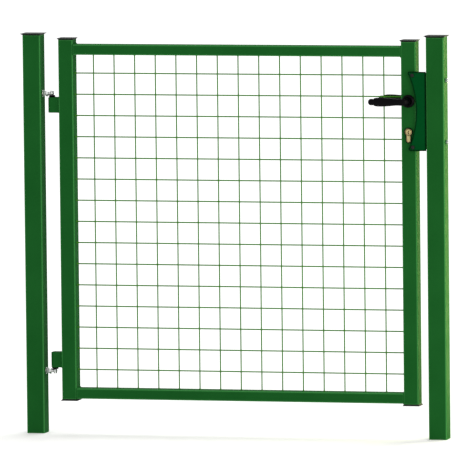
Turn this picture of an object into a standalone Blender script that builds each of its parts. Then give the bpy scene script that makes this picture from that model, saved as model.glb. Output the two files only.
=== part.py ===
"""Single-leaf gate: a welded-mesh leaf between two square posts, with pintle hinges and a lever lock.

+X runs from the hinge post to the lock post, -Y is the front (the side the stop plate is on), +Z is up.
The origin is midway between the posts, at the level of their lower ends. Everything is in metres.
"""

import math

import bmesh
import bpy
from mathutils import Matrix, Vector

# Overall layout
OVERALL_WIDTH = 1.015
POST_SIZE = 0.043
POST_WALL = 0.002
POST_TOP = 0.9405
STILE_WIDTH = 0.0355
LEAF_DEPTH = 0.038
RAIL_HEIGHT = 0.0245
FRAME_WALL = 0.002
CORNER_RADIUS = 0.003
HINGE_GAP = 0.043
LOCK_GAP = 0.0245
STILE_BOTTOM = 0.082
STILE_TOP = 0.930
RAIL_BOTTOM = 0.083
RAIL_TOP = 0.9195
GAP = 0.0003  # between pieces that touch
CUT_PAST = 0.010  # how far a cutter reaches past what it cuts

# Welded mesh
WIRE = 0.003
WIRE_PITCH = 0.050
WIRE_COUNT = 15
WIRE_WELD = 0.0006  # how far crossing wires sink into each other

# Plastic caps
CAP_LIP = 0.0045
CAP_PLUG = 0.014
POST_CAP_OVERHANG = 0.0045
STILE_CAP_OVERHANG = 0.0025

# Hinges
PIN_FROM_POST = 0.0225
PIN_RADIUS = 0.004
LUG_HEIGHT = 0.036
LUG_DEPTH = 0.028
LUG_NOSE = 0.0075
UPPER_LUG_BASE = 0.758
LOWER_LUG_BASE = 0.156
STUD_FROM_LUG = 0.009
STUD_IN_POST = 0.018
PIN_HEAD = 0.0066
PIN_SHORT_OF_LUG = 0.003
NUT_FLATS = 0.013
NUT_HEIGHT = 0.0055
WASHER_RADIUS = 0.0075
WALL_NUT_FROM_POST = 0.0013
LOCK_NUT_FROM_POST = 0.0085
INSERT_RADIUS = 0.0058
INSERT_LENGTH = 0.015
INSERT_FLANGE = 0.0075
INSERT_FLANGE_OUT = 0.0010

# Lock
LEVER_Z = 0.792
PLUG_Z = 0.720
ROSE_RADIUS = 0.015
ROSE_DEPTH = 0.008
NECK_RADIUS = 0.009
NECK_FROM_LEAF = 0.0008
NECK_HOLE_MARGIN = 0.001
SOCKET_DEPTH = 0.024
SPINDLE = 0.008
SPINDLE_IN_LEVER = 0.0225
GRIP_STANDOFF = 0.035
GRIP_STATIONS = (  # distance along the grip from the neck's axis, and radius there
    (0.0085, 0.0040),
    (0.0060, 0.0075),
    (0.0, 0.0088),
    (-0.018, 0.0076),
    (-0.034, 0.0094),
    (-0.052, 0.0104),
    (-0.068, 0.0101),
    (-0.075, 0.0078),
    (-0.0855, 0.0072),
    (-0.088, 0.0045),
)
GRIP_DEPTH_SHARE = 0.68  # the grip is an oval this much thinner from front to back
FOLLOWER_RADIUS = 0.008
FOLLOWER_ARM_WIDTH = 0.004
FOLLOWER_ARM_DEPTH = 0.007
FOLLOWER_ARM_REACH = 0.0155
CASE_DEPTH = 0.017
CASE_WALL = 0.001
CASE_BOTTOM = 0.693
CASE_TOP = 0.836
CASE_SLOT_MARGIN = 0.001
CASE_SPINDLE_HOLE = 0.007
FACEPLATE_BOTTOM = 0.679
FACEPLATE_TOP = 0.850
FACEPLATE_DEPTH = 0.024
FACEPLATE_THICK = 0.0025
FACEPLATE_CORNER = 0.002
FACEPLATE_WINDOW_MARGIN = 0.001
FACEPLATE_SCREW_INSET = 0.007
FACEPLATE_SCREW_RADIUS = 0.002
FACEPLATE_SCREW_LENGTH = 0.012
CYLINDER_SCREW_RADIUS = 0.0022
CYLINDER_SCREW_LENGTH = 0.024
SCREW_HEAD_RADIUS = 0.0045
BOLT_DEPTH = 0.014
LATCH_OUT = 0.0112
LATCH_BASE = LEVER_Z + 0.011
LATCH_HEIGHT = 0.024
LATCH_BEVEL_LENGTH = 0.008
LATCH_TIP_FLAT = 0.004
LATCH_HEAD_BACK = 0.0035  # these three are distances from the spindle's axis
LATCH_LUG_LEFT = -0.0049
LATCH_LUG_RIGHT = -0.0029
LATCH_TAIL_HEIGHT = 0.011
LATCH_TAIL_FACE = 0.0045
LATCH_JOIN = 0.002
LATCH_LUG_JOIN = 0.0005
DEADBOLT_BASE = PLUG_Z + 0.018
DEADBOLT_HEIGHT = 0.022
DEADBOLT_LENGTH = 0.034
CYLINDER_LENGTH = 0.046
CYLINDER_HEAD = 0.0085
CYLINDER_WEB = 0.005
CYLINDER_DROP = 0.0195
CYLINDER_ROSE_RIM = 0.0015
CYLINDER_ROSE_THICK = 0.0035
PLUG_RADIUS = 0.0065
KEYWAY_WIDTH = 0.0022
KEYWAY_DEPTH = 0.012
KEYWAY_BELOW = 0.0050
KEYWAY_ABOVE = 0.0035
CAM_HUB_RADIUS = 0.0075
CAM_RADIUS = 0.0135
CAM_WIDTH = 0.010
CAM_BIT = 0.007

# Keep and stop plate
STOP_LEFT = 0.4225
STOP_BOTTOM = 0.676
STOP_TOP = 0.861
STOP_THICK = 0.003
STOP_FROM_LEAF = 0.0015
STOP_HOLLOW = 0.017  # how deep the hand recess cuts into the plate's free edge
STOP_HOLLOW_STEP = 0.0015  # where the recess starts, right of the plate's left end
STOP_EAR = 0.007
STOP_EAR_ROUND = 0.006
KEEP_WIDTH = 0.0172
KEEP_BACK = 0.016
KEEP_BOTTOM = 0.680
KEEP_TOP = 0.857
KEEP_BOLT_Z = (0.696, 0.840)
KEEP_BOLT_RADIUS = 0.003
KEEP_BOLT_START = 0.003  # from the keep's left face
KEEP_BOLT_OUT = 0.006  # past the post's outer face
KEEP_POCKET_SIDE = 0.0015
KEEP_POCKET_END = 0.003
CAP_NUT_FLATS = 0.010
CAP_NUT_HEX = 0.005
CAP_NUT_DOME_SHARE = 0.92
CAP_NUT_DOME_RISE = 0.004
CAP_NUT_BORE = 0.0063
BUFFER_INSET = 0.010
BUFFER_FROM_END = 0.0085
BUFFER_STEM = 0.0025
BUFFER_PAD = 0.0048
BUFFER_PAD_THICK = 0.0010
BUFFER_HEAD_BACK = 0.0045
BUFFER_HEAD_FRONT = 0.0038
BUFFER_HEAD_THICK = 0.0015

# Places worked out from those
POST_X = (OVERALL_WIDTH - POST_SIZE) / 2
POST_INNER = POST_X - POST_SIZE / 2
POST_OUTER = OVERALL_WIDTH / 2
LEAF_LEFT = -POST_INNER + HINGE_GAP
LEAF_RIGHT = POST_INNER - LOCK_GAP
OPENING_LEFT = LEAF_LEFT + STILE_WIDTH
OPENING_RIGHT = LEAF_RIGHT - STILE_WIDTH
HINGE_STILE_X = LEAF_LEFT + STILE_WIDTH / 2
LOCK_X = LEAF_RIGHT - STILE_WIDTH / 2
LEAF_FRONT = -LEAF_DEPTH / 2
PIN_X = -POST_INNER + PIN_FROM_POST
FACE_X = LEAF_RIGHT + GAP + FACEPLATE_THICK
STOP_BACK = LEAF_FRONT - STOP_FROM_LEAF
KEEP_LEFT = POST_INNER - GAP - KEEP_WIDTH
BUFFER_X = STOP_LEFT + BUFFER_INSET
STUD_LEVELS = {
    "upper": UPPER_LUG_BASE + LUG_HEIGHT + STUD_FROM_LUG,
    "lower": LOWER_LUG_BASE - STUD_FROM_LUG,
}
FACEPLATE_SCREWS = {
    "upper": FACEPLATE_TOP - FACEPLATE_SCREW_INSET,
    "lower": FACEPLATE_BOTTOM + FACEPLATE_SCREW_INSET,
}
BUFFER_LEVELS = {
    "upper": STOP_TOP - BUFFER_FROM_END,
    "lower": STOP_BOTTOM + BUFFER_FROM_END,
}

# Colours
GREEN = (0.010, 0.085, 0.017)
DARK_GREEN = (0.001, 0.050, 0.010)
PLASTIC = (0.016, 0.020, 0.016)
BLACK = (0.004, 0.004, 0.005)
ZINC = (0.62, 0.63, 0.62)
STEEL = (0.30, 0.30, 0.31)
BRASS = (0.60, 0.42, 0.16)
RUBBER = (0.006, 0.006, 0.006)


def clear_scene():
    for obj in list(bpy.data.objects):
        bpy.data.objects.remove(obj, do_unlink=True)


def collection(name, hidden=False):
    made = bpy.data.collections.new(name)
    made.hide_render = hidden
    bpy.context.scene.collection.children.link(made)
    return made


clear_scene()
PARTS = collection("panel_gate")
CUTTERS = collection("cutters", hidden=True)


def material(name, colour, roughness, metallic=0.0):
    made = bpy.data.materials.get(name)
    if made:
        return made
    made = bpy.data.materials.new(name)
    made.use_nodes = True
    made.diffuse_color = (*colour, 1.0)
    shader = made.node_tree.nodes["Principled BSDF"]
    shader.inputs["Base Color"].default_value = (*colour, 1.0)
    shader.inputs["Roughness"].default_value = roughness
    shader.inputs["Metallic"].default_value = metallic
    return made


FINISHES = {
    "green_powder_coat": (GREEN, 0.38, 0.0),
    "dark_green_plate": (DARK_GREEN, 0.35, 0.0),
    "cap_plastic": (PLASTIC, 0.55, 0.0),
    "black_handle": (BLACK, 0.40, 0.0),
    "zinc_plated": (ZINC, 0.32, 1.0),
    "lock_steel": (STEEL, 0.35, 1.0),
    "brass": (BRASS, 0.30, 1.0),
    "rubber": (RUBBER, 0.80, 0.0),
}


def add_object(name, mesh):
    obj = bpy.data.objects.new(name, mesh)
    PARTS.objects.link(obj)
    return obj


def part(obj, finish, parent=None):
    """Gives a finished piece its own material, and its parent if it moves."""
    colour, roughness, metallic = FINISHES[finish]
    obj.data.materials.clear()
    obj.data.materials.append(material(obj.name, colour, roughness, metallic))
    if parent:
        obj.parent = parent
        obj.matrix_parent_inverse = Matrix.Translation(-parent.location)
    return obj


def pivot(name, location, parent=None):
    """An empty on a joint's axis, which carries the pieces of one moving body."""
    empty = bpy.data.objects.new(name, None)
    empty.empty_display_size = 0.02
    empty.location = location
    PARTS.objects.link(empty)
    if parent:
        empty.parent = parent
        empty.matrix_parent_inverse = Matrix.Translation(-parent.location)
    return empty


# Outlines, as lists of points in a plane


def rectangle(width, height, centre=(0.0, 0.0)):
    x, y = width / 2, height / 2
    corners = [(-x, -y), (x, -y), (x, y), (-x, y)]
    return [(centre[0] + u, centre[1] + v) for u, v in corners]


def arc(radius, start, end, steps, centre=(0.0, 0.0)):
    """Points on a circle from one angle to another, both in degrees."""
    angles = [math.radians(start + (end - start) * i / steps) for i in range(steps + 1)]
    return [(centre[0] + radius * math.cos(a), centre[1] + radius * math.sin(a)) for a in angles]


def circle(radius, sides=20, centre=(0.0, 0.0)):
    return arc(radius, 0, 360, sides, centre)[:-1]


def hexagon(flats):
    return circle(flats / math.sqrt(3), 6)


def rounded_rectangle(width, height, radius, steps=2):
    x, y = width / 2 - radius, height / 2 - radius
    corners = [(-x, -y, 180), (x, -y, 270), (x, y, 0), (-x, y, 90)]
    points = []
    for u, v, start in corners:
        points += arc(radius, start, start + 90, steps, (u, v))
    return points


def extruded(name, outlines, depth, turn, centre):
    """A flat outline, with any holes in it, given a thickness. Its own axes are X and Y before the turn."""
    curve = bpy.data.curves.new(name, "CURVE")
    curve.dimensions = "2D"
    curve.fill_mode = "BOTH"
    curve.extrude = depth / 2
    for outline in outlines:
        spline = curve.splines.new("POLY")
        spline.points.add(len(outline) - 1)
        for point, (u, v) in zip(spline.points, outline):
            point.co = (u, v, 0.0, 1.0)
        spline.use_cyclic_u = True
    return meshed(name, curve, turn, centre)


def meshed(name, curve, turn, centre):
    """The curve as a closed mesh object of the same name."""
    drawn = bpy.data.objects.new(name + "_curve", curve)
    PARTS.objects.link(drawn)
    drawn.matrix_world = Matrix.Translation(centre) @ turn
    bpy.context.view_layer.update()
    graph = bpy.context.evaluated_depsgraph_get()
    mesh = bpy.data.meshes.new_from_object(drawn.evaluated_get(graph))
    shell = bmesh.new()
    shell.from_mesh(mesh)
    bmesh.ops.remove_doubles(shell, verts=shell.verts, dist=0.00001)
    bmesh.ops.recalc_face_normals(shell, faces=shell.faces)
    shell.to_mesh(mesh)
    shell.free()
    mesh.name = name
    obj = add_object(name, mesh)
    obj.matrix_world = drawn.matrix_world.copy()
    bpy.data.objects.remove(drawn, do_unlink=True)
    return obj


# How an outline drawn in X and Y is turned
FLAT = Matrix.Identity(4)  # outline in X and Y, thickness along Z
FACING_FRONT = Matrix.Rotation(math.radians(90), 4, "X")  # outline in X and Z, thickness along Y
FACING_SIDE = Matrix(((0, 0, 1, 0), (1, 0, 0, 0), (0, 1, 0, 0), (0, 0, 0, 1)))  # outline in Y and Z


def box(name, low, high):
    shell = bmesh.new()
    bmesh.ops.create_cube(shell, size=1.0)
    size = Vector(high) - Vector(low)
    bmesh.ops.scale(shell, verts=shell.verts, vec=size)
    mesh = bpy.data.meshes.new(name)
    shell.to_mesh(mesh)
    shell.free()
    obj = add_object(name, mesh)
    obj.location = (Vector(low) + Vector(high)) / 2
    return obj


TURNS = {
    "X": Matrix.Rotation(math.radians(90), 4, "Y"),
    "Y": Matrix.Rotation(math.radians(-90), 4, "X"),
    "Z": Matrix.Identity(4),
}


def cylinder(name, radius, start, length, axis, sides=20, end_radius=None):
    """A round bar or cone from its start, along +X, +Y or +Z."""
    shell = bmesh.new()
    bmesh.ops.create_cone(
        shell,
        cap_ends=True,
        segments=sides,
        radius1=radius,
        radius2=radius if end_radius is None else end_radius,
        depth=length,
    )
    bmesh.ops.translate(shell, verts=shell.verts, vec=(0, 0, length / 2))
    mesh = bpy.data.meshes.new(name)
    shell.to_mesh(mesh)
    shell.free()
    mesh.shade_smooth()
    mesh.set_sharp_from_angle(angle=math.radians(35))
    obj = add_object(name, mesh)
    obj.matrix_world = Matrix.Translation(start) @ TURNS[axis]
    return obj


def turned(name, profile, start, axis, sides=20):
    """A solid of revolution. The profile is (radius, distance along the axis), down its outer side."""
    mesh = bpy.data.meshes.new(name)
    count = len(profile)
    points = [(radius, 0.0, along) for radius, along in profile]
    closed = profile[0][0] > 0
    edges = [(i, (i + 1) % count) for i in range(count if closed else count - 1)]
    mesh.from_pydata(points, edges, [])
    obj = add_object(name, mesh)
    obj.matrix_world = Matrix.Translation(start) @ TURNS[axis]
    screw = obj.modifiers.new("Turn", "SCREW")
    screw.steps = sides
    screw.render_steps = sides
    screw.use_merge_vertices = True
    screw.merge_threshold = 0.00001
    screw.use_smooth_shade = True
    return obj


def boolean(obj, other, operation):
    """Cuts the other object from this one, or joins it on. The other one becomes a hidden helper."""
    if other.name in PARTS.objects:
        PARTS.objects.unlink(other)
        CUTTERS.objects.link(other)
    other.hide_render = True
    other.display_type = "WIRE"
    modifier = obj.modifiers.new(operation.title(), "BOOLEAN")
    modifier.operation = operation
    modifier.object = other
    modifier.solver = "EXACT"


def cut(obj, *others):
    for other in others:
        boolean(obj, other, "DIFFERENCE")


def join(obj, *others):
    for other in others:
        boolean(obj, other, "UNION")


# Tubes and caps


def upright_tube(name, width, depth, wall, low, high, x):
    outer = rounded_rectangle(width, depth, CORNER_RADIUS)
    inner = rounded_rectangle(width - 2 * wall, depth - 2 * wall, CORNER_RADIUS - wall)
    centre = Vector((x, 0.0, (low + high) / 2))
    return extruded(name, [outer, inner], high - low, FLAT, centre)


def rail(name, low, high):
    outer = rounded_rectangle(LEAF_DEPTH, high - low, CORNER_RADIUS)
    inner = rounded_rectangle(
        LEAF_DEPTH - 2 * FRAME_WALL, high - low - 2 * FRAME_WALL, CORNER_RADIUS - FRAME_WALL
    )
    length = OPENING_RIGHT - OPENING_LEFT - 2 * GAP
    centre = Vector(((OPENING_LEFT + OPENING_RIGHT) / 2, 0.0, (low + high) / 2))
    return extruded(name, [outer, inner], length, FACING_SIDE, centre)


def end_cap(name, width, depth, wall, overhang, x, tube_end, direction):
    """A push-in cap: a lip that flares away from the tube, and a plug inside it."""
    lip_start = tube_end + direction * GAP
    lip_end = tube_end + direction * CAP_LIP
    low, high = sorted((lip_start, lip_end))
    lip = box(name, (x - width / 2, -depth / 2, low), (x + width / 2, depth / 2, high))
    outward = [v for v in lip.data.vertices if v.co.z * direction > 0]
    for vertex in outward:
        vertex.co.x += math.copysign(overhang, vertex.co.x)
        vertex.co.y += math.copysign(overhang, vertex.co.y)
    plug_width = width - 2 * wall - 2 * GAP
    plug_depth = depth - 2 * wall - 2 * GAP
    low, high = sorted((lip_start + direction * CAP_LIP / 2, tube_end - direction * CAP_PLUG))
    plug = extruded(
        name + "_plug",
        [rounded_rectangle(plug_width, plug_depth, CORNER_RADIUS - wall)],
        high - low,
        FLAT,
        Vector((x, 0.0, (low + high) / 2)),
    )
    join(lip, plug)
    return lip


def build_posts():
    hinge_post = upright_tube(
        "hinge_post", POST_SIZE, POST_SIZE, POST_WALL, 0.0, POST_TOP, -POST_X
    )
    for level, z in STUD_LEVELS.items():
        start = (-POST_INNER - CUT_PAST, 0.0, z)
        hole = cylinder(level + "_insert_hole", INSERT_RADIUS + GAP, start, 2 * CUT_PAST, "X")
        cut(hinge_post, hole)
    part(hinge_post, "green_powder_coat")
    lock_post = upright_tube("lock_post", POST_SIZE, POST_SIZE, POST_WALL, 0.0, POST_TOP, POST_X)
    for number, z in enumerate(KEEP_BOLT_Z):
        start = (POST_INNER - CUT_PAST, 0.0, z)
        length = POST_SIZE + 2 * CUT_PAST
        hole = cylinder(f"keep_bolt_hole_{number}", KEEP_BOLT_RADIUS + GAP, start, length, "X", 16)
        cut(lock_post, hole)
    part(lock_post, "green_powder_coat")
    for name, x in (("hinge_post_cap", -POST_X), ("lock_post_cap", POST_X)):
        cap = end_cap(name, POST_SIZE, POST_SIZE, POST_WALL, POST_CAP_OVERHANG, x, POST_TOP, 1)
        part(cap, "cap_plastic")


def build_leaf_frame(leaf):
    hinge_stile = upright_tube(
        "hinge_stile", STILE_WIDTH, LEAF_DEPTH, FRAME_WALL, STILE_BOTTOM, STILE_TOP, HINGE_STILE_X
    )
    part(hinge_stile, "green_powder_coat", leaf)
    lock_stile = upright_tube(
        "lock_stile", STILE_WIDTH, LEAF_DEPTH, FRAME_WALL, STILE_BOTTOM, STILE_TOP, LOCK_X
    )
    cut_lock_openings(lock_stile)
    part(lock_stile, "green_powder_coat", leaf)
    part(rail("top_rail", RAIL_TOP - RAIL_HEIGHT, RAIL_TOP), "green_powder_coat", leaf)
    part(rail("bottom_rail", RAIL_BOTTOM, RAIL_BOTTOM + RAIL_HEIGHT), "green_powder_coat", leaf)
    for side, x in (("hinge", HINGE_STILE_X), ("lock", LOCK_X)):
        for end, z, direction in (("top", STILE_TOP, 1), ("bottom", STILE_BOTTOM, -1)):
            name = f"{side}_stile_{end}_cap"
            cap = end_cap(
                name, STILE_WIDTH, LEAF_DEPTH, FRAME_WALL, STILE_CAP_OVERHANG, x, z, direction
            )
            part(cap, "cap_plastic", leaf)


def cut_lock_openings(stile):
    """Holes in the lock stile for the spindle, the cylinder, the lock case and the faceplate screws."""
    reach = LEAF_DEPTH + 2 * CUT_PAST
    spindle_hole = cylinder(
        "spindle_hole", NECK_RADIUS + NECK_HOLE_MARGIN, (LOCK_X, -reach / 2, LEVER_Z), reach, "Y"
    )
    profile_hole = extruded(
        "cylinder_hole",
        [cylinder_profile(2 * GAP)],
        reach,
        FACING_FRONT,
        Vector((LOCK_X, 0.0, PLUG_Z)),
    )
    half_slot = CASE_DEPTH / 2 + GAP
    case_slot = box(
        "case_slot",
        (LEAF_RIGHT - CUT_PAST, -half_slot, CASE_BOTTOM - CASE_SLOT_MARGIN),
        (LEAF_RIGHT + CUT_PAST, half_slot, CASE_TOP + CASE_SLOT_MARGIN),
    )
    cut(stile, spindle_hole, profile_hole, case_slot)
    for end, z in FACEPLATE_SCREWS.items():
        start = (LEAF_RIGHT - CUT_PAST, 0.0, z)
        radius = FACEPLATE_SCREW_RADIUS + GAP
        cut(stile, cylinder(end + "_screw_hole", radius, start, 2 * CUT_PAST, "X", 12))


def build_mesh_panel(leaf):
    """Vertical and horizontal wires that cross and are welded at every crossing."""
    span = (WIRE_COUNT - 1) * WIRE_PITCH
    centre_x = (OPENING_LEFT + OPENING_RIGHT) / 2
    opening_low = RAIL_BOTTOM + RAIL_HEIGHT
    opening_high = RAIL_TOP - RAIL_HEIGHT
    centre_z = (opening_low + opening_high) / 2
    half = WIRE / 2
    offsets = [i * WIRE_PITCH - span / 2 for i in range(WIRE_COUNT)]
    upright_y = half - WIRE_WELD / 2
    level_y = -upright_y
    uprights = wires(
        "mesh_panel",
        [(centre_x + o, upright_y, centre_z) for o in offsets],
        (WIRE, WIRE, opening_high - opening_low - 2 * GAP),
    )
    levels = wires(
        "mesh_levels",
        [(centre_x, level_y, centre_z + o) for o in offsets],
        (OPENING_RIGHT - OPENING_LEFT - 2 * GAP, WIRE, WIRE),
    )
    join(uprights, levels)
    part(uprights, "green_powder_coat", leaf)


def wires(name, centres, size):
    shell = bmesh.new()
    for centre in centres:
        place = Matrix.Translation(centre) @ Matrix.Diagonal((*size, 1.0))
        bmesh.ops.create_cube(shell, size=1.0, matrix=place)
    mesh = bpy.data.meshes.new(name)
    shell.to_mesh(mesh)
    shell.free()
    return add_object(name, mesh)


# Hinges: the upper pin points down into its lug and the lower one points up


def build_hinge(level, lug_base, pin_direction, leaf):
    stud_z = STUD_LEVELS[level]
    build_lug(level, lug_base, leaf)
    stud_start = -POST_INNER - STUD_IN_POST
    pintle = cylinder(
        f"{level}_pintle", PIN_RADIUS, (stud_start, 0.0, stud_z), PIN_X - stud_start, "X", 16
    )
    pin_length = PIN_HEAD + STUD_FROM_LUG + LUG_HEIGHT - PIN_SHORT_OF_LUG
    pin_low = stud_z - PIN_HEAD if pin_direction > 0 else stud_z + PIN_HEAD - pin_length
    pin = cylinder(f"{level}_pin", PIN_RADIUS, (PIN_X, 0.0, pin_low), pin_length, "Z", 16)
    join(pintle, pin)
    part(pintle, "zinc_plated")

    wall = -POST_INNER
    insert = turned(
        f"{level}_rivet_nut",
        [
            (INSERT_FLANGE, INSERT_FLANGE_OUT),
            (INSERT_FLANGE, GAP),
            (INSERT_RADIUS, GAP),
            (INSERT_RADIUS, -INSERT_LENGTH),
            (PIN_RADIUS + GAP, -INSERT_LENGTH),
            (PIN_RADIUS + GAP, INSERT_FLANGE_OUT),
        ],
        (wall, 0.0, stud_z),
        "X",
        16,
    )
    part(insert, "zinc_plated")
    for kind, offset in (("wall_nut", WALL_NUT_FROM_POST), ("lock_nut", LOCK_NUT_FROM_POST)):
        nut = extruded(
            f"{level}_{kind}",
            [hexagon(NUT_FLATS), circle(PIN_RADIUS + GAP, 16)],
            NUT_HEIGHT,
            FACING_SIDE,
            Vector((wall + offset + NUT_HEIGHT / 2, 0.0, stud_z)),
        )
        part(nut, "zinc_plated")
    near_lug = STUD_FROM_LUG - GAP
    near_stud = PIN_RADIUS + GAP
    thickness = near_lug - near_stud
    washer = extruded(
        f"{level}_hinge_washer",
        [circle(WASHER_RADIUS), circle(PIN_RADIUS + GAP, 16)],
        thickness,
        FLAT,
        Vector((PIN_X, 0.0, stud_z + pin_direction * (near_stud + thickness / 2))),
    )
    part(washer, "black_handle")


def build_lug(level, base, leaf):
    """A block welded to the hinge stile, round-nosed, with the pin's hole through it."""
    right = LEAF_LEFT - GAP - PIN_X
    half = LUG_DEPTH / 2
    nose = LUG_NOSE
    outline = [(right, -half), (right, half)]
    outline += arc(nose, 90, 180, 3, (0.0, half - nose))
    outline += arc(nose, 180, 270, 3, (0.0, nose - half))
    lug = extruded(
        f"{level}_hinge_lug",
        [outline, circle(PIN_RADIUS + GAP, 16)],
        LUG_HEIGHT,
        FLAT,
        Vector((PIN_X, 0.0, base + LUG_HEIGHT / 2)),
    )
    part(lug, "green_powder_coat", leaf)


# Lock in the leaf


def cylinder_profile(clearance=0.0):
    """The profile cylinder's outline about its plug centre: a round head on a narrower, round-ended web."""
    head = CYLINDER_HEAD + clearance
    web = CYLINDER_WEB + clearance
    meet = math.degrees(math.asin(web / head))
    points = arc(head, -90 + meet, 270 - meet, 16)
    points += arc(web, 180, 360, 6, (0.0, -CYLINDER_DROP))
    return points


def build_lock_case(leaf):
    back = LEAF_RIGHT - STILE_WIDTH + FRAME_WALL + GAP
    half = CASE_DEPTH / 2
    case = box("lock_case", (back, -half, CASE_BOTTOM), (LEAF_RIGHT - GAP, half, CASE_TOP))
    inside = box(
        "case_inside",
        (back + CASE_WALL, -half + CASE_WALL, CASE_BOTTOM + CASE_WALL),
        (LEAF_RIGHT + CUT_PAST, half - CASE_WALL, CASE_TOP - CASE_WALL),
    )
    reach = CASE_DEPTH + CUT_PAST
    follower_hole = cylinder(
        "follower_hole", CASE_SPINDLE_HOLE, (LOCK_X, -reach / 2, LEVER_Z), reach, "Y"
    )
    profile_hole = extruded(
        "case_cylinder_hole",
        [cylinder_profile(GAP)],
        reach,
        FACING_FRONT,
        Vector((LOCK_X, 0.0, PLUG_Z)),
    )
    cut(case, inside, follower_hole, profile_hole)
    part(case, "lock_steel", leaf)


def build_faceplate(leaf):
    middle = (FACEPLATE_BOTTOM + FACEPLATE_TOP) / 2
    window = BOLT_DEPTH + FACEPLATE_WINDOW_MARGIN
    tall = FACEPLATE_TOP - FACEPLATE_BOTTOM
    outlines = [rounded_rectangle(FACEPLATE_DEPTH, tall, FACEPLATE_CORNER)]
    for base, height in ((LATCH_BASE, LATCH_HEIGHT), (DEADBOLT_BASE, DEADBOLT_HEIGHT)):
        centre = (0.0, base + height / 2 - middle)
        outlines.append(rectangle(window, height + FACEPLATE_WINDOW_MARGIN, centre))
    for z in (*FACEPLATE_SCREWS.values(), PLUG_Z - CYLINDER_DROP):
        outlines.append(circle(SCREW_HEAD_RADIUS + GAP, 16, (0.0, z - middle)))
    place = Vector((LEAF_RIGHT + GAP + FACEPLATE_THICK / 2, 0.0, middle))
    plate = extruded("lock_faceplate", outlines, FACEPLATE_THICK, FACING_SIDE, place)
    part(plate, "lock_steel", leaf)
    for end, z in FACEPLATE_SCREWS.items():
        size = (FACEPLATE_SCREW_LENGTH, FACEPLATE_SCREW_RADIUS)
        build_screw(f"{end}_faceplate_screw", z, *size, leaf)
    size = (CYLINDER_SCREW_LENGTH, CYLINDER_SCREW_RADIUS)
    build_screw("cylinder_screw", PLUG_Z - CYLINDER_DROP, *size, leaf)


def build_screw(name, z, length, radius, leaf):
    """A screw along X whose head fills its hole in the faceplate."""
    profile = [
        (0.0, 0.0),
        (SCREW_HEAD_RADIUS, 0.0),
        (SCREW_HEAD_RADIUS, -FACEPLATE_THICK),
        (radius, -FACEPLATE_THICK),
        (radius, -length),
        (0.0, -length),
    ]
    screw = turned(name, profile, (FACE_X, 0.0, z), "X", 16)
    part(screw, "lock_steel", leaf)


def build_roses(leaf):
    for side, direction in (("front", -1), ("back", 1)):
        middle = direction * (LEAF_DEPTH / 2 + GAP + ROSE_DEPTH / 2)
        rose = extruded(
            f"{side}_rose",
            [circle(ROSE_RADIUS, 28), circle(NECK_RADIUS + 2 * GAP, 20)],
            ROSE_DEPTH,
            FACING_FRONT,
            Vector((LOCK_X, middle, LEVER_Z)),
        )
        part(rose, "black_handle", leaf)


def build_cylinder(leaf, plug_pivot):
    place = Vector((LOCK_X, 0.0, PLUG_Z))
    body = extruded(
        "cylinder_body",
        [cylinder_profile(), circle(PLUG_RADIUS + GAP, 16)],
        CYLINDER_LENGTH,
        FACING_FRONT,
        place,
    )
    half_slot = CAM_WIDTH / 2 + GAP
    cam_sweep = math.hypot(CAM_RADIUS, CAM_BIT / 2) + GAP
    cam_slot = box(
        "cam_slot",
        (LOCK_X - CUT_PAST, -half_slot, PLUG_Z - cam_sweep),
        (LOCK_X + CUT_PAST, half_slot, PLUG_Z + CUT_PAST),
    )
    screw_hole = cylinder(
        "cylinder_screw_hole",
        CYLINDER_SCREW_RADIUS + GAP,
        (LOCK_X - CUT_PAST, 0.0, PLUG_Z - CYLINDER_DROP),
        2 * CUT_PAST,
        "X",
        12,
    )
    cut(body, cam_slot, screw_hole)
    part(body, "brass", leaf)

    for side, direction in (("front", -1), ("back", 1)):
        middle = direction * (LEAF_DEPTH / 2 + GAP + CYLINDER_ROSE_THICK / 2)
        rose = extruded(
            f"{side}_cylinder_rose",
            [cylinder_profile(CYLINDER_ROSE_RIM), cylinder_profile(GAP)],
            CYLINDER_ROSE_THICK,
            FACING_FRONT,
            Vector((LOCK_X, middle, PLUG_Z)),
        )
        part(rose, "black_handle", leaf)
        build_plug(side, direction, plug_pivot)

    cam_hub = cylinder(
        "cylinder_cam", CAM_HUB_RADIUS, (LOCK_X, -CAM_WIDTH / 2, PLUG_Z), CAM_WIDTH, "Y", 16
    )
    bit = box(
        "cam_bit",
        (LOCK_X - CAM_BIT / 2, -CAM_WIDTH / 2, PLUG_Z - CAM_RADIUS),
        (LOCK_X + CAM_BIT / 2, CAM_WIDTH / 2, PLUG_Z),
    )
    join(cam_hub, bit)
    part(cam_hub, "lock_steel", plug_pivot)


def build_plug(side, direction, plug_pivot):
    """Half of the turning plug, with its keyway cut in from the outer end."""
    inner = CAM_WIDTH / 2 + GAP
    length = CYLINDER_LENGTH / 2 - inner
    start = inner if direction > 0 else -inner - length
    plug = cylinder(f"{side}_plug", PLUG_RADIUS, (LOCK_X, start, PLUG_Z), length, "Y", 16)
    outer = direction * CYLINDER_LENGTH / 2
    low, high = sorted((outer - direction * KEYWAY_DEPTH, outer + direction * CUT_PAST))
    keyway = box(
        f"{side}_keyway",
        (LOCK_X - KEYWAY_WIDTH / 2, low, PLUG_Z - KEYWAY_BELOW),
        (LOCK_X + KEYWAY_WIDTH / 2, high, PLUG_Z + KEYWAY_ABOVE),
    )
    cut(plug, keyway)
    part(plug, "brass", plug_pivot)


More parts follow.
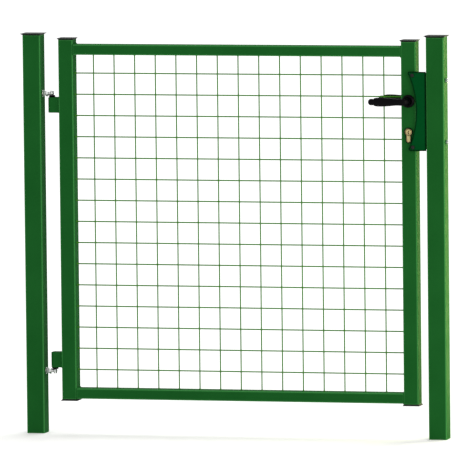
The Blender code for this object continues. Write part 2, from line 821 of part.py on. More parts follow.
def build_levers(lever_pivot):
    """The two lever handles, the square spindle that joins them, and the follower that it turns."""
    leaf_half = LEAF_DEPTH / 2
    neck_start = leaf_half + NECK_FROM_LEAF
    grip_y = leaf_half + GRIP_STANDOFF
    neck_length = grip_y - neck_start
    half_square = SPINDLE / 2 + GAP
    for side, direction in (("front", -1), ("back", 1)):
        start = neck_start if direction > 0 else -grip_y
        neck = cylinder(
            f"{side}_lever", NECK_RADIUS, (LOCK_X, start, LEVER_Z), neck_length, "Y", 20
        )
        grip = build_grip(f"{side}_grip", direction * grip_y)
        ends = (direction * (neck_start - CUT_PAST), direction * (neck_start + SOCKET_DEPTH))
        socket = box(
            f"{side}_socket",
            (LOCK_X - half_square, min(ends), LEVER_Z - half_square),
            (LOCK_X + half_square, max(ends), LEVER_Z + half_square),
        )
        join(neck, grip)
        cut(neck, socket)
        part(neck, "black_handle", lever_pivot)

    reach = neck_start + SPINDLE_IN_LEVER
    half = SPINDLE / 2
    spindle = box(
        "spindle", (LOCK_X - half, -reach, LEVER_Z - half), (LOCK_X + half, reach, LEVER_Z + half)
    )
    part(spindle, "lock_steel", lever_pivot)

    follower = cylinder(
        "follower", FOLLOWER_RADIUS, (LOCK_X, -BOLT_DEPTH / 2, LEVER_Z), BOLT_DEPTH, "Y", 20
    )
    half_width = FOLLOWER_ARM_WIDTH / 2
    half_depth = FOLLOWER_ARM_DEPTH / 2
    arm = box(
        "follower_arm",
        (LOCK_X - half_width, -half_depth, LEVER_Z),
        (LOCK_X + half_width, half_depth, LEVER_Z + FOLLOWER_ARM_REACH),
    )
    square = box(
        "follower_square",
        (LOCK_X - half_square, -CUT_PAST, LEVER_Z - half_square),
        (LOCK_X + half_square, CUT_PAST, LEVER_Z + half_square),
    )
    join(follower, arm)
    cut(follower, square)
    part(follower, "lock_steel", lever_pivot)


def build_grip(name, y):
    """An oval grip along -X: narrow at the neck, full in the middle, with a smaller tip."""
    curve = bpy.data.curves.new(name, "CURVE")
    curve.dimensions = "3D"
    curve.bevel_depth = 1.0
    curve.bevel_resolution = 2
    curve.use_fill_caps = True
    spline = curve.splines.new("POLY")
    spline.points.add(len(GRIP_STATIONS) - 1)
    for point, (along, radius) in zip(spline.points, GRIP_STATIONS):
        point.co = (along, 0.0, 0.0, 1.0)
        point.radius = radius
    oval = Matrix.Diagonal((1.0, GRIP_DEPTH_SHARE, 1.0, 1.0))
    return meshed(name, curve, oval, (LOCK_X, y, LEVER_Z))


def build_latch(latch_pivot):
    """The latch: a head bevelled on its front side, and a tail whose lug the follower's arm pulls."""
    half = BOLT_DEPTH / 2
    head_back = LOCK_X + LATCH_HEAD_BACK
    tip = FACE_X + LATCH_OUT
    outline = [
        (head_back, -half),
        (tip - LATCH_BEVEL_LENGTH, -half),
        (tip, half - LATCH_TIP_FLAT),
        (tip, half),
        (head_back, half),
    ]
    middle = LATCH_BASE + LATCH_HEIGHT / 2
    latch = extruded("latch_bolt", [outline], LATCH_HEIGHT, FLAT, Vector((0.0, 0.0, middle)))
    lug_left = LOCK_X + LATCH_LUG_LEFT
    lug_right = LOCK_X + LATCH_LUG_RIGHT
    lug_top = LATCH_BASE + LATCH_TAIL_HEIGHT
    tail = box(
        "latch_tail",
        (lug_left, LATCH_TAIL_FACE, LATCH_BASE),
        (head_back + LATCH_JOIN, half - GAP, lug_top),
    )
    lug = box(
        "latch_lug",
        (lug_left, -half + GAP, LATCH_BASE),
        (lug_right, LATCH_TAIL_FACE + LATCH_LUG_JOIN, lug_top),
    )
    join(latch, tail, lug)
    part(latch, "lock_steel", latch_pivot)


def build_deadbolt(deadbolt_pivot):
    half = BOLT_DEPTH / 2
    bolt = box(
        "deadbolt",
        (FACE_X - DEADBOLT_LENGTH, -half, DEADBOLT_BASE),
        (FACE_X - GAP, half, DEADBOLT_BASE + DEADBOLT_HEIGHT),
    )
    part(bolt, "lock_steel", deadbolt_pivot)


# Keep on the lock post


def build_keep():
    """The block behind the stop plate, with pockets for the latch and the deadbolt."""
    keep = box(
        "keep_body",
        (KEEP_LEFT, STOP_BACK + GAP, KEEP_BOTTOM),
        (POST_INNER - GAP, KEEP_BACK, KEEP_TOP),
    )
    depth = BOLT_DEPTH / 2 + KEEP_POCKET_SIDE
    for name, base, height in (
        ("latch_pocket", LATCH_BASE, LATCH_HEIGHT),
        ("deadbolt_pocket", DEADBOLT_BASE, DEADBOLT_HEIGHT),
    ):
        low = (KEEP_LEFT - CUT_PAST, -depth, base - KEEP_POCKET_END)
        high = (POST_INNER + CUT_PAST, depth, base + height + KEEP_POCKET_END)
        cut(keep, box(name, low, high))
    bolt_start = KEEP_LEFT + KEEP_BOLT_START
    bolt_length = POST_OUTER + KEEP_BOLT_OUT - bolt_start
    hole_length = POST_INNER + CUT_PAST - bolt_start
    for level, z in zip(("lower", "upper"), KEEP_BOLT_Z):
        start = (bolt_start - GAP, 0.0, z)
        hole = cylinder(level + "_keep_hole", KEEP_BOLT_RADIUS + GAP, start, hole_length, "X", 16)
        cut(keep, hole)
        start = (bolt_start, 0.0, z)
        stud = cylinder(level + "_keep_stud", KEEP_BOLT_RADIUS, start, bolt_length, "X", 16)
        part(stud, "zinc_plated")
        part(cap_nut(level + "_keep_cap_nut", z), "zinc_plated")
    part(keep, "dark_green_plate")


def cap_nut(name, z):
    """A domed nut on a stud's end, against the post's outer face."""
    base = POST_OUTER + GAP
    middle = Vector((base + CAP_NUT_HEX / 2, 0.0, z))
    nut = extruded(name, [hexagon(CAP_NUT_FLATS)], CAP_NUT_HEX, FACING_SIDE, middle)
    radius = CAP_NUT_FLATS / 2 * CAP_NUT_DOME_SHARE
    count = 4
    overlap = 0.0005
    profile = [(0.0, CAP_NUT_DOME_RISE)]
    for i in range(1, count + 1):
        angle = math.radians(90 * i / count)
        profile.append((radius * math.sin(angle), CAP_NUT_DOME_RISE * math.cos(angle)))
    profile += [(radius, -overlap), (0.0, -overlap)]
    dome = turned(name + "_dome", profile, (base + CAP_NUT_HEX, 0.0, z), "X", 16)
    start = (base - CUT_PAST, 0.0, z)
    length = CUT_PAST + CAP_NUT_BORE
    bore = cylinder(name + "_bore", KEEP_BOLT_RADIUS + GAP, start, length, "X", 16)
    join(nut, dome)
    cut(nut, bore)
    return nut


def build_stop_plate():
    """The plate that the closed leaf stops against. Its free edge is hollowed for the hand."""
    right = POST_INNER - GAP
    height = STOP_TOP - STOP_BOTTOM
    chord = height - 2 * STOP_EAR
    radius = (chord * chord / 4 + STOP_HOLLOW * STOP_HOLLOW) / (2 * STOP_HOLLOW)
    sweep = math.degrees(math.asin(chord / 2 / radius))
    middle = (STOP_TOP + STOP_BOTTOM) / 2
    edge_x = STOP_LEFT + STOP_HOLLOW_STEP
    centre = (edge_x + STOP_HOLLOW - radius, middle)
    outline = [(right, STOP_BOTTOM)]
    outline += [(right, STOP_TOP), (STOP_LEFT, STOP_TOP), (STOP_LEFT, STOP_TOP - STOP_EAR)]
    outline += arc(radius, sweep, -sweep, 12, centre)
    ear_centre = (STOP_LEFT + STOP_EAR_ROUND, STOP_BOTTOM + STOP_EAR_ROUND)
    outline += arc(STOP_EAR_ROUND, 180, 270, 3, ear_centre)
    outlines = [[(x, z - middle) for x, z in outline]]
    for z in BUFFER_LEVELS.values():
        outlines.append(circle(BUFFER_STEM + GAP, 12, (BUFFER_X, z - middle)))
    plate = extruded(
        "keep_stop_plate",
        outlines,
        STOP_THICK,
        FACING_FRONT,
        Vector((0.0, STOP_BACK - STOP_THICK / 2, middle)),
    )
    part(plate, "dark_green_plate")
    for level, z in BUFFER_LEVELS.items():
        build_buffer(level, z)


def build_buffer(level, z):
    """A rubber stop: a pad behind the plate, a stem through its hole and a head in front."""
    head = -STOP_THICK - GAP
    profile = [
        (0.0, GAP + BUFFER_PAD_THICK),
        (BUFFER_PAD, GAP + BUFFER_PAD_THICK),
        (BUFFER_PAD, GAP),
        (BUFFER_STEM, GAP),
        (BUFFER_STEM, head),
        (BUFFER_HEAD_BACK, head),
        (BUFFER_HEAD_FRONT, head - BUFFER_HEAD_THICK),
        (0.0, head - BUFFER_HEAD_THICK),
    ]
    buffer = turned(f"{level}_stop_buffer", profile, (BUFFER_X, STOP_BACK, z), "Y", 16)
    part(buffer, "rubber")


def build():
    leaf = pivot("leaf_pivot", (PIN_X, 0.0, 0.0))
    lever_pivot = pivot("lever_pivot", (LOCK_X, 0.0, LEVER_Z), leaf)
    plug_pivot = pivot("plug_pivot", (LOCK_X, 0.0, PLUG_Z), leaf)
    latch_pivot = pivot("latch_pivot", (FACE_X, 0.0, LATCH_BASE), leaf)
    deadbolt_pivot = pivot("deadbolt_pivot", (FACE_X, 0.0, DEADBOLT_BASE), leaf)
    build_posts()
    build_leaf_frame(leaf)
    build_mesh_panel(leaf)
    build_hinge("upper", UPPER_LUG_BASE, -1, leaf)
    build_hinge("lower", LOWER_LUG_BASE, 1, leaf)
    build_lock_case(leaf)
    build_faceplate(leaf)
    build_roses(leaf)
    build_cylinder(leaf, plug_pivot)
    build_levers(lever_pivot)
    build_latch(latch_pivot)
    build_deadbolt(deadbolt_pivot)
    build_keep()
    build_stop_plate()


build()
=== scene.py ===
"""Looks of the single-leaf mesh gate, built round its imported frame.

+X runs from the hinge post to the lock post, -Y is the front and +Z is up, all in metres.
Each visible piece is a finer version of one of the frame's solids, in that solid's place.
"""

import math

import bmesh
import bpy
from mathutils import Matrix, Quaternion, Vector, noise


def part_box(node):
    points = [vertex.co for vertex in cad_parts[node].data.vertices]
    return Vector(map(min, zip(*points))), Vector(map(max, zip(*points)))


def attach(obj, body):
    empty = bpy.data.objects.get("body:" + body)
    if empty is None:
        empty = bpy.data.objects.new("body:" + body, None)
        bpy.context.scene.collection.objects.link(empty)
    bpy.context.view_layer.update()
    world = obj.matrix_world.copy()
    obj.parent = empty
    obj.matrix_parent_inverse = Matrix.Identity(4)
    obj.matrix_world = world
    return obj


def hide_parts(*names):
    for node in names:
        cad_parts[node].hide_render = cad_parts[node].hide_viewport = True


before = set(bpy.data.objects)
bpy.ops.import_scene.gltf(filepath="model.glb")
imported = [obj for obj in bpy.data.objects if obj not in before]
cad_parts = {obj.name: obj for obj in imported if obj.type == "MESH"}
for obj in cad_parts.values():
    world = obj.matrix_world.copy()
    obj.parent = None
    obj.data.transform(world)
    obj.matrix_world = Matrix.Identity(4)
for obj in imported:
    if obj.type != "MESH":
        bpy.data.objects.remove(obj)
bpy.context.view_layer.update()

# Sections of the tubes, rails and wires
TUBE_WALL = 0.002
TUBE_CORNER = 0.003
TUBE_END_ROUND = 0.0004
CORNER_STEPS = 6
WIRE_PITCH = 0.05
WIRE_COUNT = 15
WIRE_RADIUS = 0.0015
WIRE_SIDES = 12
WIRE_WELD = 0.0006  # how far crossing wires sink into each other

# Welds
RAIL_BEAD = 0.0021
LUG_BEAD = 0.0019
BEAD_RIPPLE = 0.0017  # distance from one ripple to the next

# Hinges and their threads
PIN_RADIUS = 0.004
THREAD_PITCH = 0.00125
THREAD_DEPTH = 0.00045
NUT_FLATS = 0.013
LUG_NOSE = 0.0075
RIVET_SLEEVE = 0.0058
RIVET_HOLE = 0.0061

LEVELS = ("upper", "lower")  # of the hinges, and of the keep's studs and stops

# Fits, cutters and nuts
CLEARANCE = 0.0003
CUT_PAST = 0.01  # how far a cutter reaches past what it cuts
NUT_TURNED = 0.97  # a nut's turned end face, as a share of its flats
NUT_LEAD = 0.0004

# Lock
NECK_RADIUS = 0.009
CYLINDER_HEAD = 0.0085
CYLINDER_WEB = 0.005
CYLINDER_DROP = 0.0195
STOP_HOLLOW = 0.017
STOP_EAR = 0.007
STEM_RADIUS = 0.0025



def level_of(node):
    """The height of a node's middle in the frame."""
    low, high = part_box(node)
    return (low.z + high.z) / 2


def half_width(node):
    """Half a node's size along Y, which is the radius of a stud."""
    low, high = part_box(node)
    return (high.y - low.y) / 2


def depths_of(node):
    """How far a node's two faces are from the leaf's middle plane, the nearer one first."""
    low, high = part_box(node)
    return sorted((abs(low.y), abs(high.y)))


# Places read from the frame
HINGE_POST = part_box("hinge_post")
LOCK_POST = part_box("lock_post")
HINGE_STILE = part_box("hinge_stile")
LOCK_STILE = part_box("lock_stile")
LEAF_RIGHT = LOCK_STILE[1].x
LEAF_HALF = LOCK_STILE[1].y
PIN_X = (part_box("upper_hinge_washer")[0].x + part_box("upper_hinge_washer")[1].x) / 2
LOCK_X = (LOCK_STILE[0].x + LOCK_STILE[1].x) / 2
LEVER_Z = level_of("front_rose")
PLUG_Z = level_of("front_plug")


# Outlines, as lists of points in a plane


def arc(radius, start, end, steps, centre=(0.0, 0.0)):
    """Points on a circle from one angle to another, both in degrees."""
    angles = [math.radians(start + (end - start) * i / steps) for i in range(steps + 1)]
    return [(centre[0] + radius * math.cos(a), centre[1] + radius * math.sin(a)) for a in angles]


def circle(radius, sides=32, centre=(0.0, 0.0)):
    return arc(radius, 0, 360, sides, centre)[:-1]


def rectangle(width, height, centre=(0.0, 0.0)):
    x, y = width / 2, height / 2
    corners = [(-x, -y), (x, -y), (x, y), (-x, y)]
    return [(centre[0] + u, centre[1] + v) for u, v in corners]


def rounded_rectangle(width, height, radius, steps=CORNER_STEPS):
    x, y = width / 2 - radius, height / 2 - radius
    corners = [(-x, -y, 180), (x, -y, 270), (x, y, 0), (-x, y, 90)]
    points = []
    for u, v, start in corners:
        points += arc(radius, start, start + 90, steps, (u, v))
    return points


def cylinder_profile(margin=0.0):
    """The profile cylinder's outline about its plug: a round head on a narrower web with a round end."""
    head = CYLINDER_HEAD + margin
    web = CYLINDER_WEB + margin
    meet = math.degrees(math.asin(web / head))
    points = arc(head, -90 + meet, 270 - meet, 32)
    points += arc(web, 180, 360, 16, (0.0, -CYLINDER_DROP))
    return points


def even_steps(outline, step):
    """Points at even steps round a closed convex outline, each with its outward direction."""
    found = []
    for start, end in zip(outline, outline[1:] + outline[:1]):
        edge = Vector(end) - Vector(start)
        if edge.length < 1e-9:
            continue
        outward = Vector((edge.y, -edge.x)).normalized()
        count = max(1, round(edge.length / step))
        found += [(Vector(start) + edge * i / count, outward) for i in range(count)]
    return found


# Meshes

HERE = Matrix.Identity(4)


def loft(shell, rings, endless=False):
    """Joins rings of as many points each into one skin, capped unless the last ring meets the first."""
    loops = [[shell.verts.new(point) for point in ring] for ring in rings]
    pairs = list(zip(loops, loops[1:]))
    if endless:
        pairs.append((loops[-1], loops[0]))
    count = len(loops[0])
    for first, second in pairs:
        for i in range(count):
            j = (i + 1) % count
            shell.faces.new((first[i], first[j], second[j], second[i]))
    if not endless:
        shell.faces.new(loops[0][::-1])
        shell.faces.new(loops[-1])


def in_scene(name, data):
    obj = bpy.data.objects.new(name, data)
    bpy.context.scene.collection.objects.link(obj)
    return obj


def made_object(name, shell, place=HERE, smooth=35):
    """The mesh as an object whose own axes are the world's, shaded smooth except at sharp edges."""
    shell.transform(place)
    bmesh.ops.recalc_face_normals(shell, faces=shell.faces)
    mesh = bpy.data.meshes.new(name)
    shell.to_mesh(mesh)
    shell.free()
    mesh.shade_smooth()
    mesh.set_sharp_from_angle(angle=math.radians(smooth))
    return in_scene(name, mesh)


def lofted(name, rings, place=HERE, endless=False, smooth=35):
    shell = bmesh.new()
    loft(shell, rings, endless)
    return made_object(name, shell, place, smooth)


ALONG_X = Matrix(((0, 0, 1, 0), (1, 0, 0, 0), (0, 1, 0, 0), (0, 0, 0, 1)))  # X, Y, Z become Y, Z, X
FACING_FRONT = Matrix.Rotation(math.radians(90), 4, "X")  # X, Y become X, Z, and Z becomes -Y
FACING_BACK = Matrix.Rotation(math.radians(180), 4, "Z") @ FACING_FRONT


def at(x, y, z):
    return Matrix.Translation((x, y, z))


def mirrored(rows, height):
    """The lower rows of a profile with their mirror image, up to this height."""
    return rows + [(radius, height - up) for radius, up in reversed(rows)]


def prism(name, outline, low, high, place=HERE, smooth=35):
    """A flat outline made solid between two heights."""
    rings = [[(u, v, level) for u, v in outline] for level in (low, high)]
    return lofted(name, rings, place, smooth=smooth)


def hole(outline, low, high, place=HERE):
    """The cutter for a hole of this outline."""
    return prism("hole", outline, low, high, place)


def turned(name, profile, place=HERE, sides=48, flats=None, endless=False):
    """A solid of revolution about Z from (radius, height) points. With flats given, a hexagon trims it."""
    rings = []
    for radius, height in profile:
        ring = []
        for i in range(sides):
            angle = 2 * math.pi * i / sides
            reach = radius
            if flats:
                from_flat = angle % math.radians(60) - math.radians(30)
                reach = min(radius, flats / 2 / math.cos(from_flat))
            ring.append((reach * math.cos(angle), reach * math.sin(angle), height))
        rings.append(ring)
    return lofted(name, rings, place, endless)


def applied(obj):
    """Bakes the modifiers into the mesh."""
    bpy.context.view_layer.update()
    graph = bpy.context.evaluated_depsgraph_get()
    mesh = bpy.data.meshes.new_from_object(obj.evaluated_get(graph))
    obj.modifiers.clear()
    old = obj.data
    obj.data = mesh
    bpy.data.meshes.remove(old)
    return obj


def combine(obj, others, operation):
    for other in others:
        modifier = obj.modifiers.new(operation.title(), "BOOLEAN")
        modifier.operation = operation
        modifier.object = other
        modifier.solver = "EXACT"
    applied(obj)
    for other in others:
        bpy.data.objects.remove(other, do_unlink=True)
    return obj


def cut(obj, *cutters):
    return combine(obj, cutters, "DIFFERENCE")


def join(obj, *others):
    return combine(obj, others, "UNION")


def bevelled(obj, width, segments=3, angle=40):
    """Rounds the sharp edges, and keeps the flat faces looking flat."""
    bevel = obj.modifiers.new("Round", "BEVEL")
    bevel.width = width
    bevel.segments = segments
    bevel.limit_method = "ANGLE"
    bevel.angle_limit = math.radians(angle)
    applied(obj)
    obj.data.shade_smooth()
    return weighted(obj)


def weighted(obj):
    normals = obj.modifiers.new("Normals", "WEIGHTED_NORMAL")
    normals.keep_sharp = True
    return obj


# Materials


def new_material(name, roughness, metallic=0.0, specular=0.5):
    made = bpy.data.materials.new(name)
    made.use_nodes = True
    shader = made.node_tree.nodes["Principled BSDF"]
    shader.inputs["Roughness"].default_value = roughness
    shader.inputs["Metallic"].default_value = metallic
    shader.inputs["Specular IOR Level"].default_value = specular
    return made, made.node_tree, shader


def add_node(tree, kind, **inputs):
    """A shader node with its inputs linked to other nodes' outputs or set to values."""
    made = tree.nodes.new("ShaderNode" + kind)
    for name, value in inputs.items():
        socket = made.inputs[name.replace("_", " ")]
        if isinstance(value, bpy.types.NodeSocket):
            tree.links.new(value, socket)
        else:
            socket.default_value = value
    return made


def place_on_piece(tree, stretch=(1.0, 1.0, 1.0)):
    """The piece's own coordinates in metres, stretched for a grain that runs one way."""
    coordinates = add_node(tree, "TexCoord").outputs["Object"]
    return add_node(tree, "Mapping", Vector=coordinates, Scale=stretch).outputs["Vector"]


def noise_of(place, scale, detail=2.0, roughness=0.5):
    texture = add_node(place.id_data, "TexNoise", Vector=place, Scale=scale, Detail=detail, Roughness=roughness)
    return texture.outputs["Fac"]


def spread(value, low, high, out_low, out_high):
    """The value, stretched from one range to another."""
    ends = {"From_Min": low, "From_Max": high, "To_Min": out_low, "To_Max": out_high}
    return add_node(value.id_data, "MapRange", Value=value, **ends).outputs["Result"]


def mixed(factor, first, second):
    """A mix of two colours, each a colour or another node's output."""
    tree = factor.id_data
    mix = tree.nodes.new("ShaderNodeMix")
    mix.data_type = "RGBA"
    tree.links.new(factor, mix.inputs["Factor"])
    for socket, colour in (("A", first), ("B", second)):
        target = [s for s in mix.inputs if s.name == socket and s.type == "RGBA"][0]
        if isinstance(colour, tuple):
            target.default_value = (*colour, 1.0)
        else:
            tree.links.new(colour, target)
    return [s for s in mix.outputs if s.type == "RGBA"][0]


def bumped(tree, shader, heights):
    """Adds surface relief from (height, strength, distance) rows, one over the other."""
    below = None
    for height, strength, distance in heights:
        bump = add_node(tree, "Bump", Height=height, Strength=strength, Distance=distance)
        if below:
            tree.links.new(below, bump.inputs["Normal"])
        below = bump.outputs["Normal"]
    tree.links.new(below, shader.inputs["Normal"])


STILL_FLAT = 0.995  # cosine of the most that a normal may turn on a flat face


def normal_around(tree, width):
    """The normal as it is averaged over this distance round each point."""
    bevel = add_node(tree, "Bevel", Radius=width)
    bevel.samples = 6
    return bevel.outputs["Normal"]


def edge_mask(tree, width, full=0.85):
    """1 along sharp edges and 0 on flats. The last value is the cosine of the turn that makes it 1."""
    near = normal_around(tree, width)
    geometry = tree.nodes.new("ShaderNodeNewGeometry")
    dot = tree.nodes.new("ShaderNodeVectorMath")
    dot.operation = "DOT_PRODUCT"
    tree.links.new(near, dot.inputs[0])
    tree.links.new(geometry.outputs["Normal"], dot.inputs[1])
    return spread(dot.outputs["Value"], STILL_FLAT, full, 0.0, 1.0)


def corner_mask(tree, width):
    """1 along a square piece's rounded corners and 0 on its flats, by the normal's largest part."""
    near = normal_around(tree, width)
    turned_in = add_node(tree, "VectorTransform", Vector=near)
    turned_in.vector_type = "NORMAL"
    turned_in.convert_from = "WORLD"
    turned_in.convert_to = "OBJECT"
    size = tree.nodes.new("ShaderNodeVectorMath")
    size.operation = "ABSOLUTE"
    tree.links.new(turned_in.outputs["Vector"], size.inputs[0])
    parts = add_node(tree, "SeparateXYZ", Vector=size.outputs["Vector"])
    most = parts.outputs["X"]
    for axis in ("Y", "Z"):
        larger = tree.nodes.new("ShaderNodeMath")
        larger.operation = "MAXIMUM"
        tree.links.new(most, larger.inputs[0])
        tree.links.new(parts.outputs[axis], larger.inputs[1])
        most = larger.outputs["Value"]
    return spread(most, STILL_FLAT, 0.9, 0.0, 1.0)


def uneven_roughness(tree, shader, value, low, high):
    """Varies the roughness between two values with a noise."""
    tree.links.new(spread(value, 0.3, 0.7, low, high), shader.inputs["Roughness"])


def powder_coat(name, dark, light, edge, edge_width=0.0012, full=0.85, specular=0.004, tube=False):
    """Powder coat on steel: fine orange peel, faint clouds of colour and another tone along the edges. The edge
    tone is partly worn coat and partly painted highlight on the welds and lugs, a painted highlight on the
    tubes' corners, and a near-black painted shade outline on the keep's plates.
    """
    roughness = 0.5
    made, tree, shader = new_material(name, roughness, specular=specular)
    place = place_on_piece(tree)
    clouds = spread(noise_of(place, 7.0, 4.0), 0.35, 0.65, 0.0, 1.0)
    grain = spread(noise_of(place, 1400.0, 1.0), 0.4, 0.62, 0.0, 0.35)
    body = mixed(grain, mixed(clouds, dark, light), light)
    # The edge tone is painted light: painted highlight on paler edges, painted shade on near-black ones
    edges = corner_mask(tree, edge_width) if tube else edge_mask(tree, edge_width, full)
    tree.links.new(mixed(edges, body, edge), shader.inputs["Base Color"])
    smears = noise_of(place, 45.0, 5.0, 0.6)
    uneven_roughness(tree, shader, smears, roughness - 0.07, roughness + 0.09)
    peel = noise_of(place, 620.0, 2.0)
    specks = noise_of(place, 2600.0, 1.0)
    bumped(tree, shader, [(peel, 0.35, 0.00025), (specks, 0.18, 0.00008)])
    return made


def moulded_plastic(name, colour, pale, roughness, specular):
    """Moulded plastic with a fine spark-eroded grain and slightly paler rubbed edges."""
    made, tree, shader = new_material(name, roughness, specular=specular)
    place = place_on_piece(tree)
    clouds = spread(noise_of(place, 30.0, 3.0), 0.35, 0.65, 0.0, 0.4)
    body = mixed(clouds, colour, pale)
    edges = edge_mask(tree, 0.0008)
    tree.links.new(mixed(edges, body, pale), shader.inputs["Base Color"])
    rubbed = noise_of(place, 160.0, 4.0, 0.6)
    uneven_roughness(tree, shader, rubbed, roughness - 0.08, roughness + 0.08)
    grain = noise_of(place, 2200.0, 2.0)
    bumped(tree, shader, [(grain, 0.3, 0.0001)])
    return made


def plated_metal(
    name, colour, dull, roughness, stretch=(1.0, 1.0, 1.0), grain_scale=900.0,
    relief=0.12, edge=None, edge_width=0.0006, full=0.85,
):
    """Bare or plated metal: patches of duller film, and a grain that the stretch draws out one way. An edge
    colour, where given, is painted shade along the edges.
    """
    made, tree, shader = new_material(name, roughness, metallic=1.0)
    place = place_on_piece(tree)
    film = spread(noise_of(place, 220.0, 5.0, 0.65), 0.35, 0.7, 0.0, 1.0)
    edges = edge_mask(tree, edge_width, full)
    film_and_painted_edge_shade = mixed(edges, mixed(film, colour, dull), edge or colour)
    tree.links.new(film_and_painted_edge_shade, shader.inputs["Base Color"])
    brushed = noise_of(place_on_piece(tree, stretch), grain_scale, 3.0)
    uneven_roughness(tree, shader, brushed, roughness - 0.1, roughness + 0.14)
    bumped(tree, shader, [(brushed, relief, 0.00008)])
    return made


def rubber(name):
    made, tree, shader = new_material(name, 0.8, specular=0.2)
    place = place_on_piece(tree)
    bloom = spread(noise_of(place, 300.0, 4.0), 0.4, 0.7, 0.0, 1.0)
    black = mixed(bloom, (0.004, 0.005, 0.004), (0.014, 0.015, 0.014))
    tree.links.new(black, shader.inputs["Base Color"])
    bumped(tree, shader, [(noise_of(place, 1800.0, 2.0), 0.4, 0.0001)])
    return made


def studio_floor():
    made, tree, shader = new_material("studio_floor", 0.9, specular=0.0)
    place = place_on_piece(tree)
    pale = mixed(noise_of(place, 0.6, 3.0), (0.85, 0.85, 0.85), (0.87, 0.87, 0.87))
    tree.links.new(pale, shader.inputs["Base Color"])
    return made


# Two tones each: a coat's dark and light clouds, and the brass with its duller film
MOSS_GREEN = (0.0068, 0.07, 0.012), (0.009, 0.082, 0.015)
WIRE_GREEN = (0.034, 0.15, 0.012), (0.046, 0.178, 0.018)
PLATE_GREEN = (0.0004, 0.042, 0.008), (0.0008, 0.054, 0.0115)
BRASS = (0.5, 0.41, 0.2), (0.34, 0.27, 0.12)
ALONG_Y = (1.0, 0.2, 1.0)  # stretches a brushed grain along Y

FINISH = {
    "green_powder_coat": powder_coat("green_powder_coat", *MOSS_GREEN, (0.026, 0.145, 0.036)),
    # Tubes: the paler corner tone is a painted highlight along their rounded corners
    "green_powder_tube_painted_highlight": powder_coat(
        "green_powder_tube_painted_highlight", *MOSS_GREEN, (0.036, 0.185, 0.046), 0.0035, tube=True
    ),
    "green_mesh": powder_coat("green_mesh", *WIRE_GREEN, (0.052, 0.19, 0.022), 0.0006, specular=0.0),
    # Keep's plates: the near-black tone along their edges is painted shade, an outline for the shadowed gaps
    "dark_green_plate": powder_coat(
        "dark_green_plate", *PLATE_GREEN, (0.0003, 0.0025, 0.0008), 0.006, 0.95
    ),
    "cap_plastic": moulded_plastic("cap_plastic", (0.007, 0.011, 0.008), (0.018, 0.024, 0.019), 0.55, 0.06),
    "black_handle": moulded_plastic(
        "black_handle", (0.001, 0.0007, 0.0014), (0.003, 0.002, 0.004), 0.36, 0.05
    ),
    "zinc_plated": plated_metal("zinc_plated", (0.8, 0.81, 0.8), (0.58, 0.6, 0.6), 0.3),
    "lock_steel": plated_metal(
        "lock_steel", (0.6, 0.6, 0.6), (0.42, 0.43, 0.44), 0.32, (6.0, 6.0, 0.3), 500.0, 0.25
    ),
    # Brass: the near-black edge tone of the body and the darker edges of the plug are painted shade, a dark rim
    # round a bright core
    "brass": plated_metal(
        "brass", *BRASS, 0.34, ALONG_Y, 1200.0, edge=(0.004, 0.008, 0.003), edge_width=0.004, full=0.93
    ),
    "brass_plug": plated_metal("brass_plug", *BRASS, 0.32, ALONG_Y, 1200.0, edge=(0.2, 0.15, 0.06)),
    "rubber": rubber("rubber"),
}


def piece(obj, finish, body, *nodes, slot=None):
    """Finishes a piece: its material, the body it moves with and the frame's nodes that it stands for."""
    if not obj.data.materials:
        obj.data.materials.append(FINISH[finish])
    obj.data.materials[0] = FINISH[finish]
    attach(obj, body)
    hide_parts(*nodes)
    return obj


def tube_piece(obj, body, *nodes):
    """A tube, in the same coat as its welds but with a painted highlight, a paler tone, on its rounded corners.
    """
    return piece(weighted(obj), "green_powder_tube_painted_highlight", body, *nodes, slot="green_powder_coat")


# Tubes, rails and caps


def tube_rings(width, depth, length):
    """Rings up the outside of a rectangular tube, over its end and down the inside."""
    end = TUBE_END_ROUND
    insets = [
        (end, 0.0),
        (0.0, end),
        (0.0, length - end),
        (end, length),
        (TUBE_WALL - end, length),
        (TUBE_WALL, length - end),
        (TUBE_WALL, end),
        (TUBE_WALL - end, 0.0),
    ]
    rings = []
    for inset, height in insets:
        outline = rounded_rectangle(width - 2 * inset, depth - 2 * inset, TUBE_CORNER - inset)
        rings.append([(u, v, height) for u, v in outline])
    return rings


def upright(name, box):
    low, high = box
    size = high - low
    centre = (low + high) / 2
    return lofted(name, tube_rings(size.x, size.y, size.z), at(centre.x, centre.y, low.z), endless=True)


def build_posts():
    hinge_post = upright("hinge_post_tube", HINGE_POST)
    for level in LEVELS:
        place = at(HINGE_POST[1].x, 0, level_of(f"{level}_rivet_nut")) @ ALONG_X
        cut(hinge_post, hole(circle(RIVET_HOLE, 32), -CUT_PAST, CUT_PAST, place))
    tube_piece(hinge_post, "posts", "hinge_post")
    lock_post = upright("lock_post_tube", LOCK_POST)
    for level in LEVELS:
        outline = circle(half_width(f"{level}_keep_stud") + CLEARANCE, 24)
        length = LOCK_POST[1].x - LOCK_POST[0].x
        place = at(LOCK_POST[0].x, 0, level_of(f"{level}_keep_stud")) @ ALONG_X
        cut(lock_post, hole(outline, -CUT_PAST, length + CUT_PAST, place))
    tube_piece(lock_post, "posts", "lock_post")
    for side, box in (("hinge", HINGE_POST), ("lock", LOCK_POST)):
        build_cap(f"{side}_post_cap", box, 1, "posts")


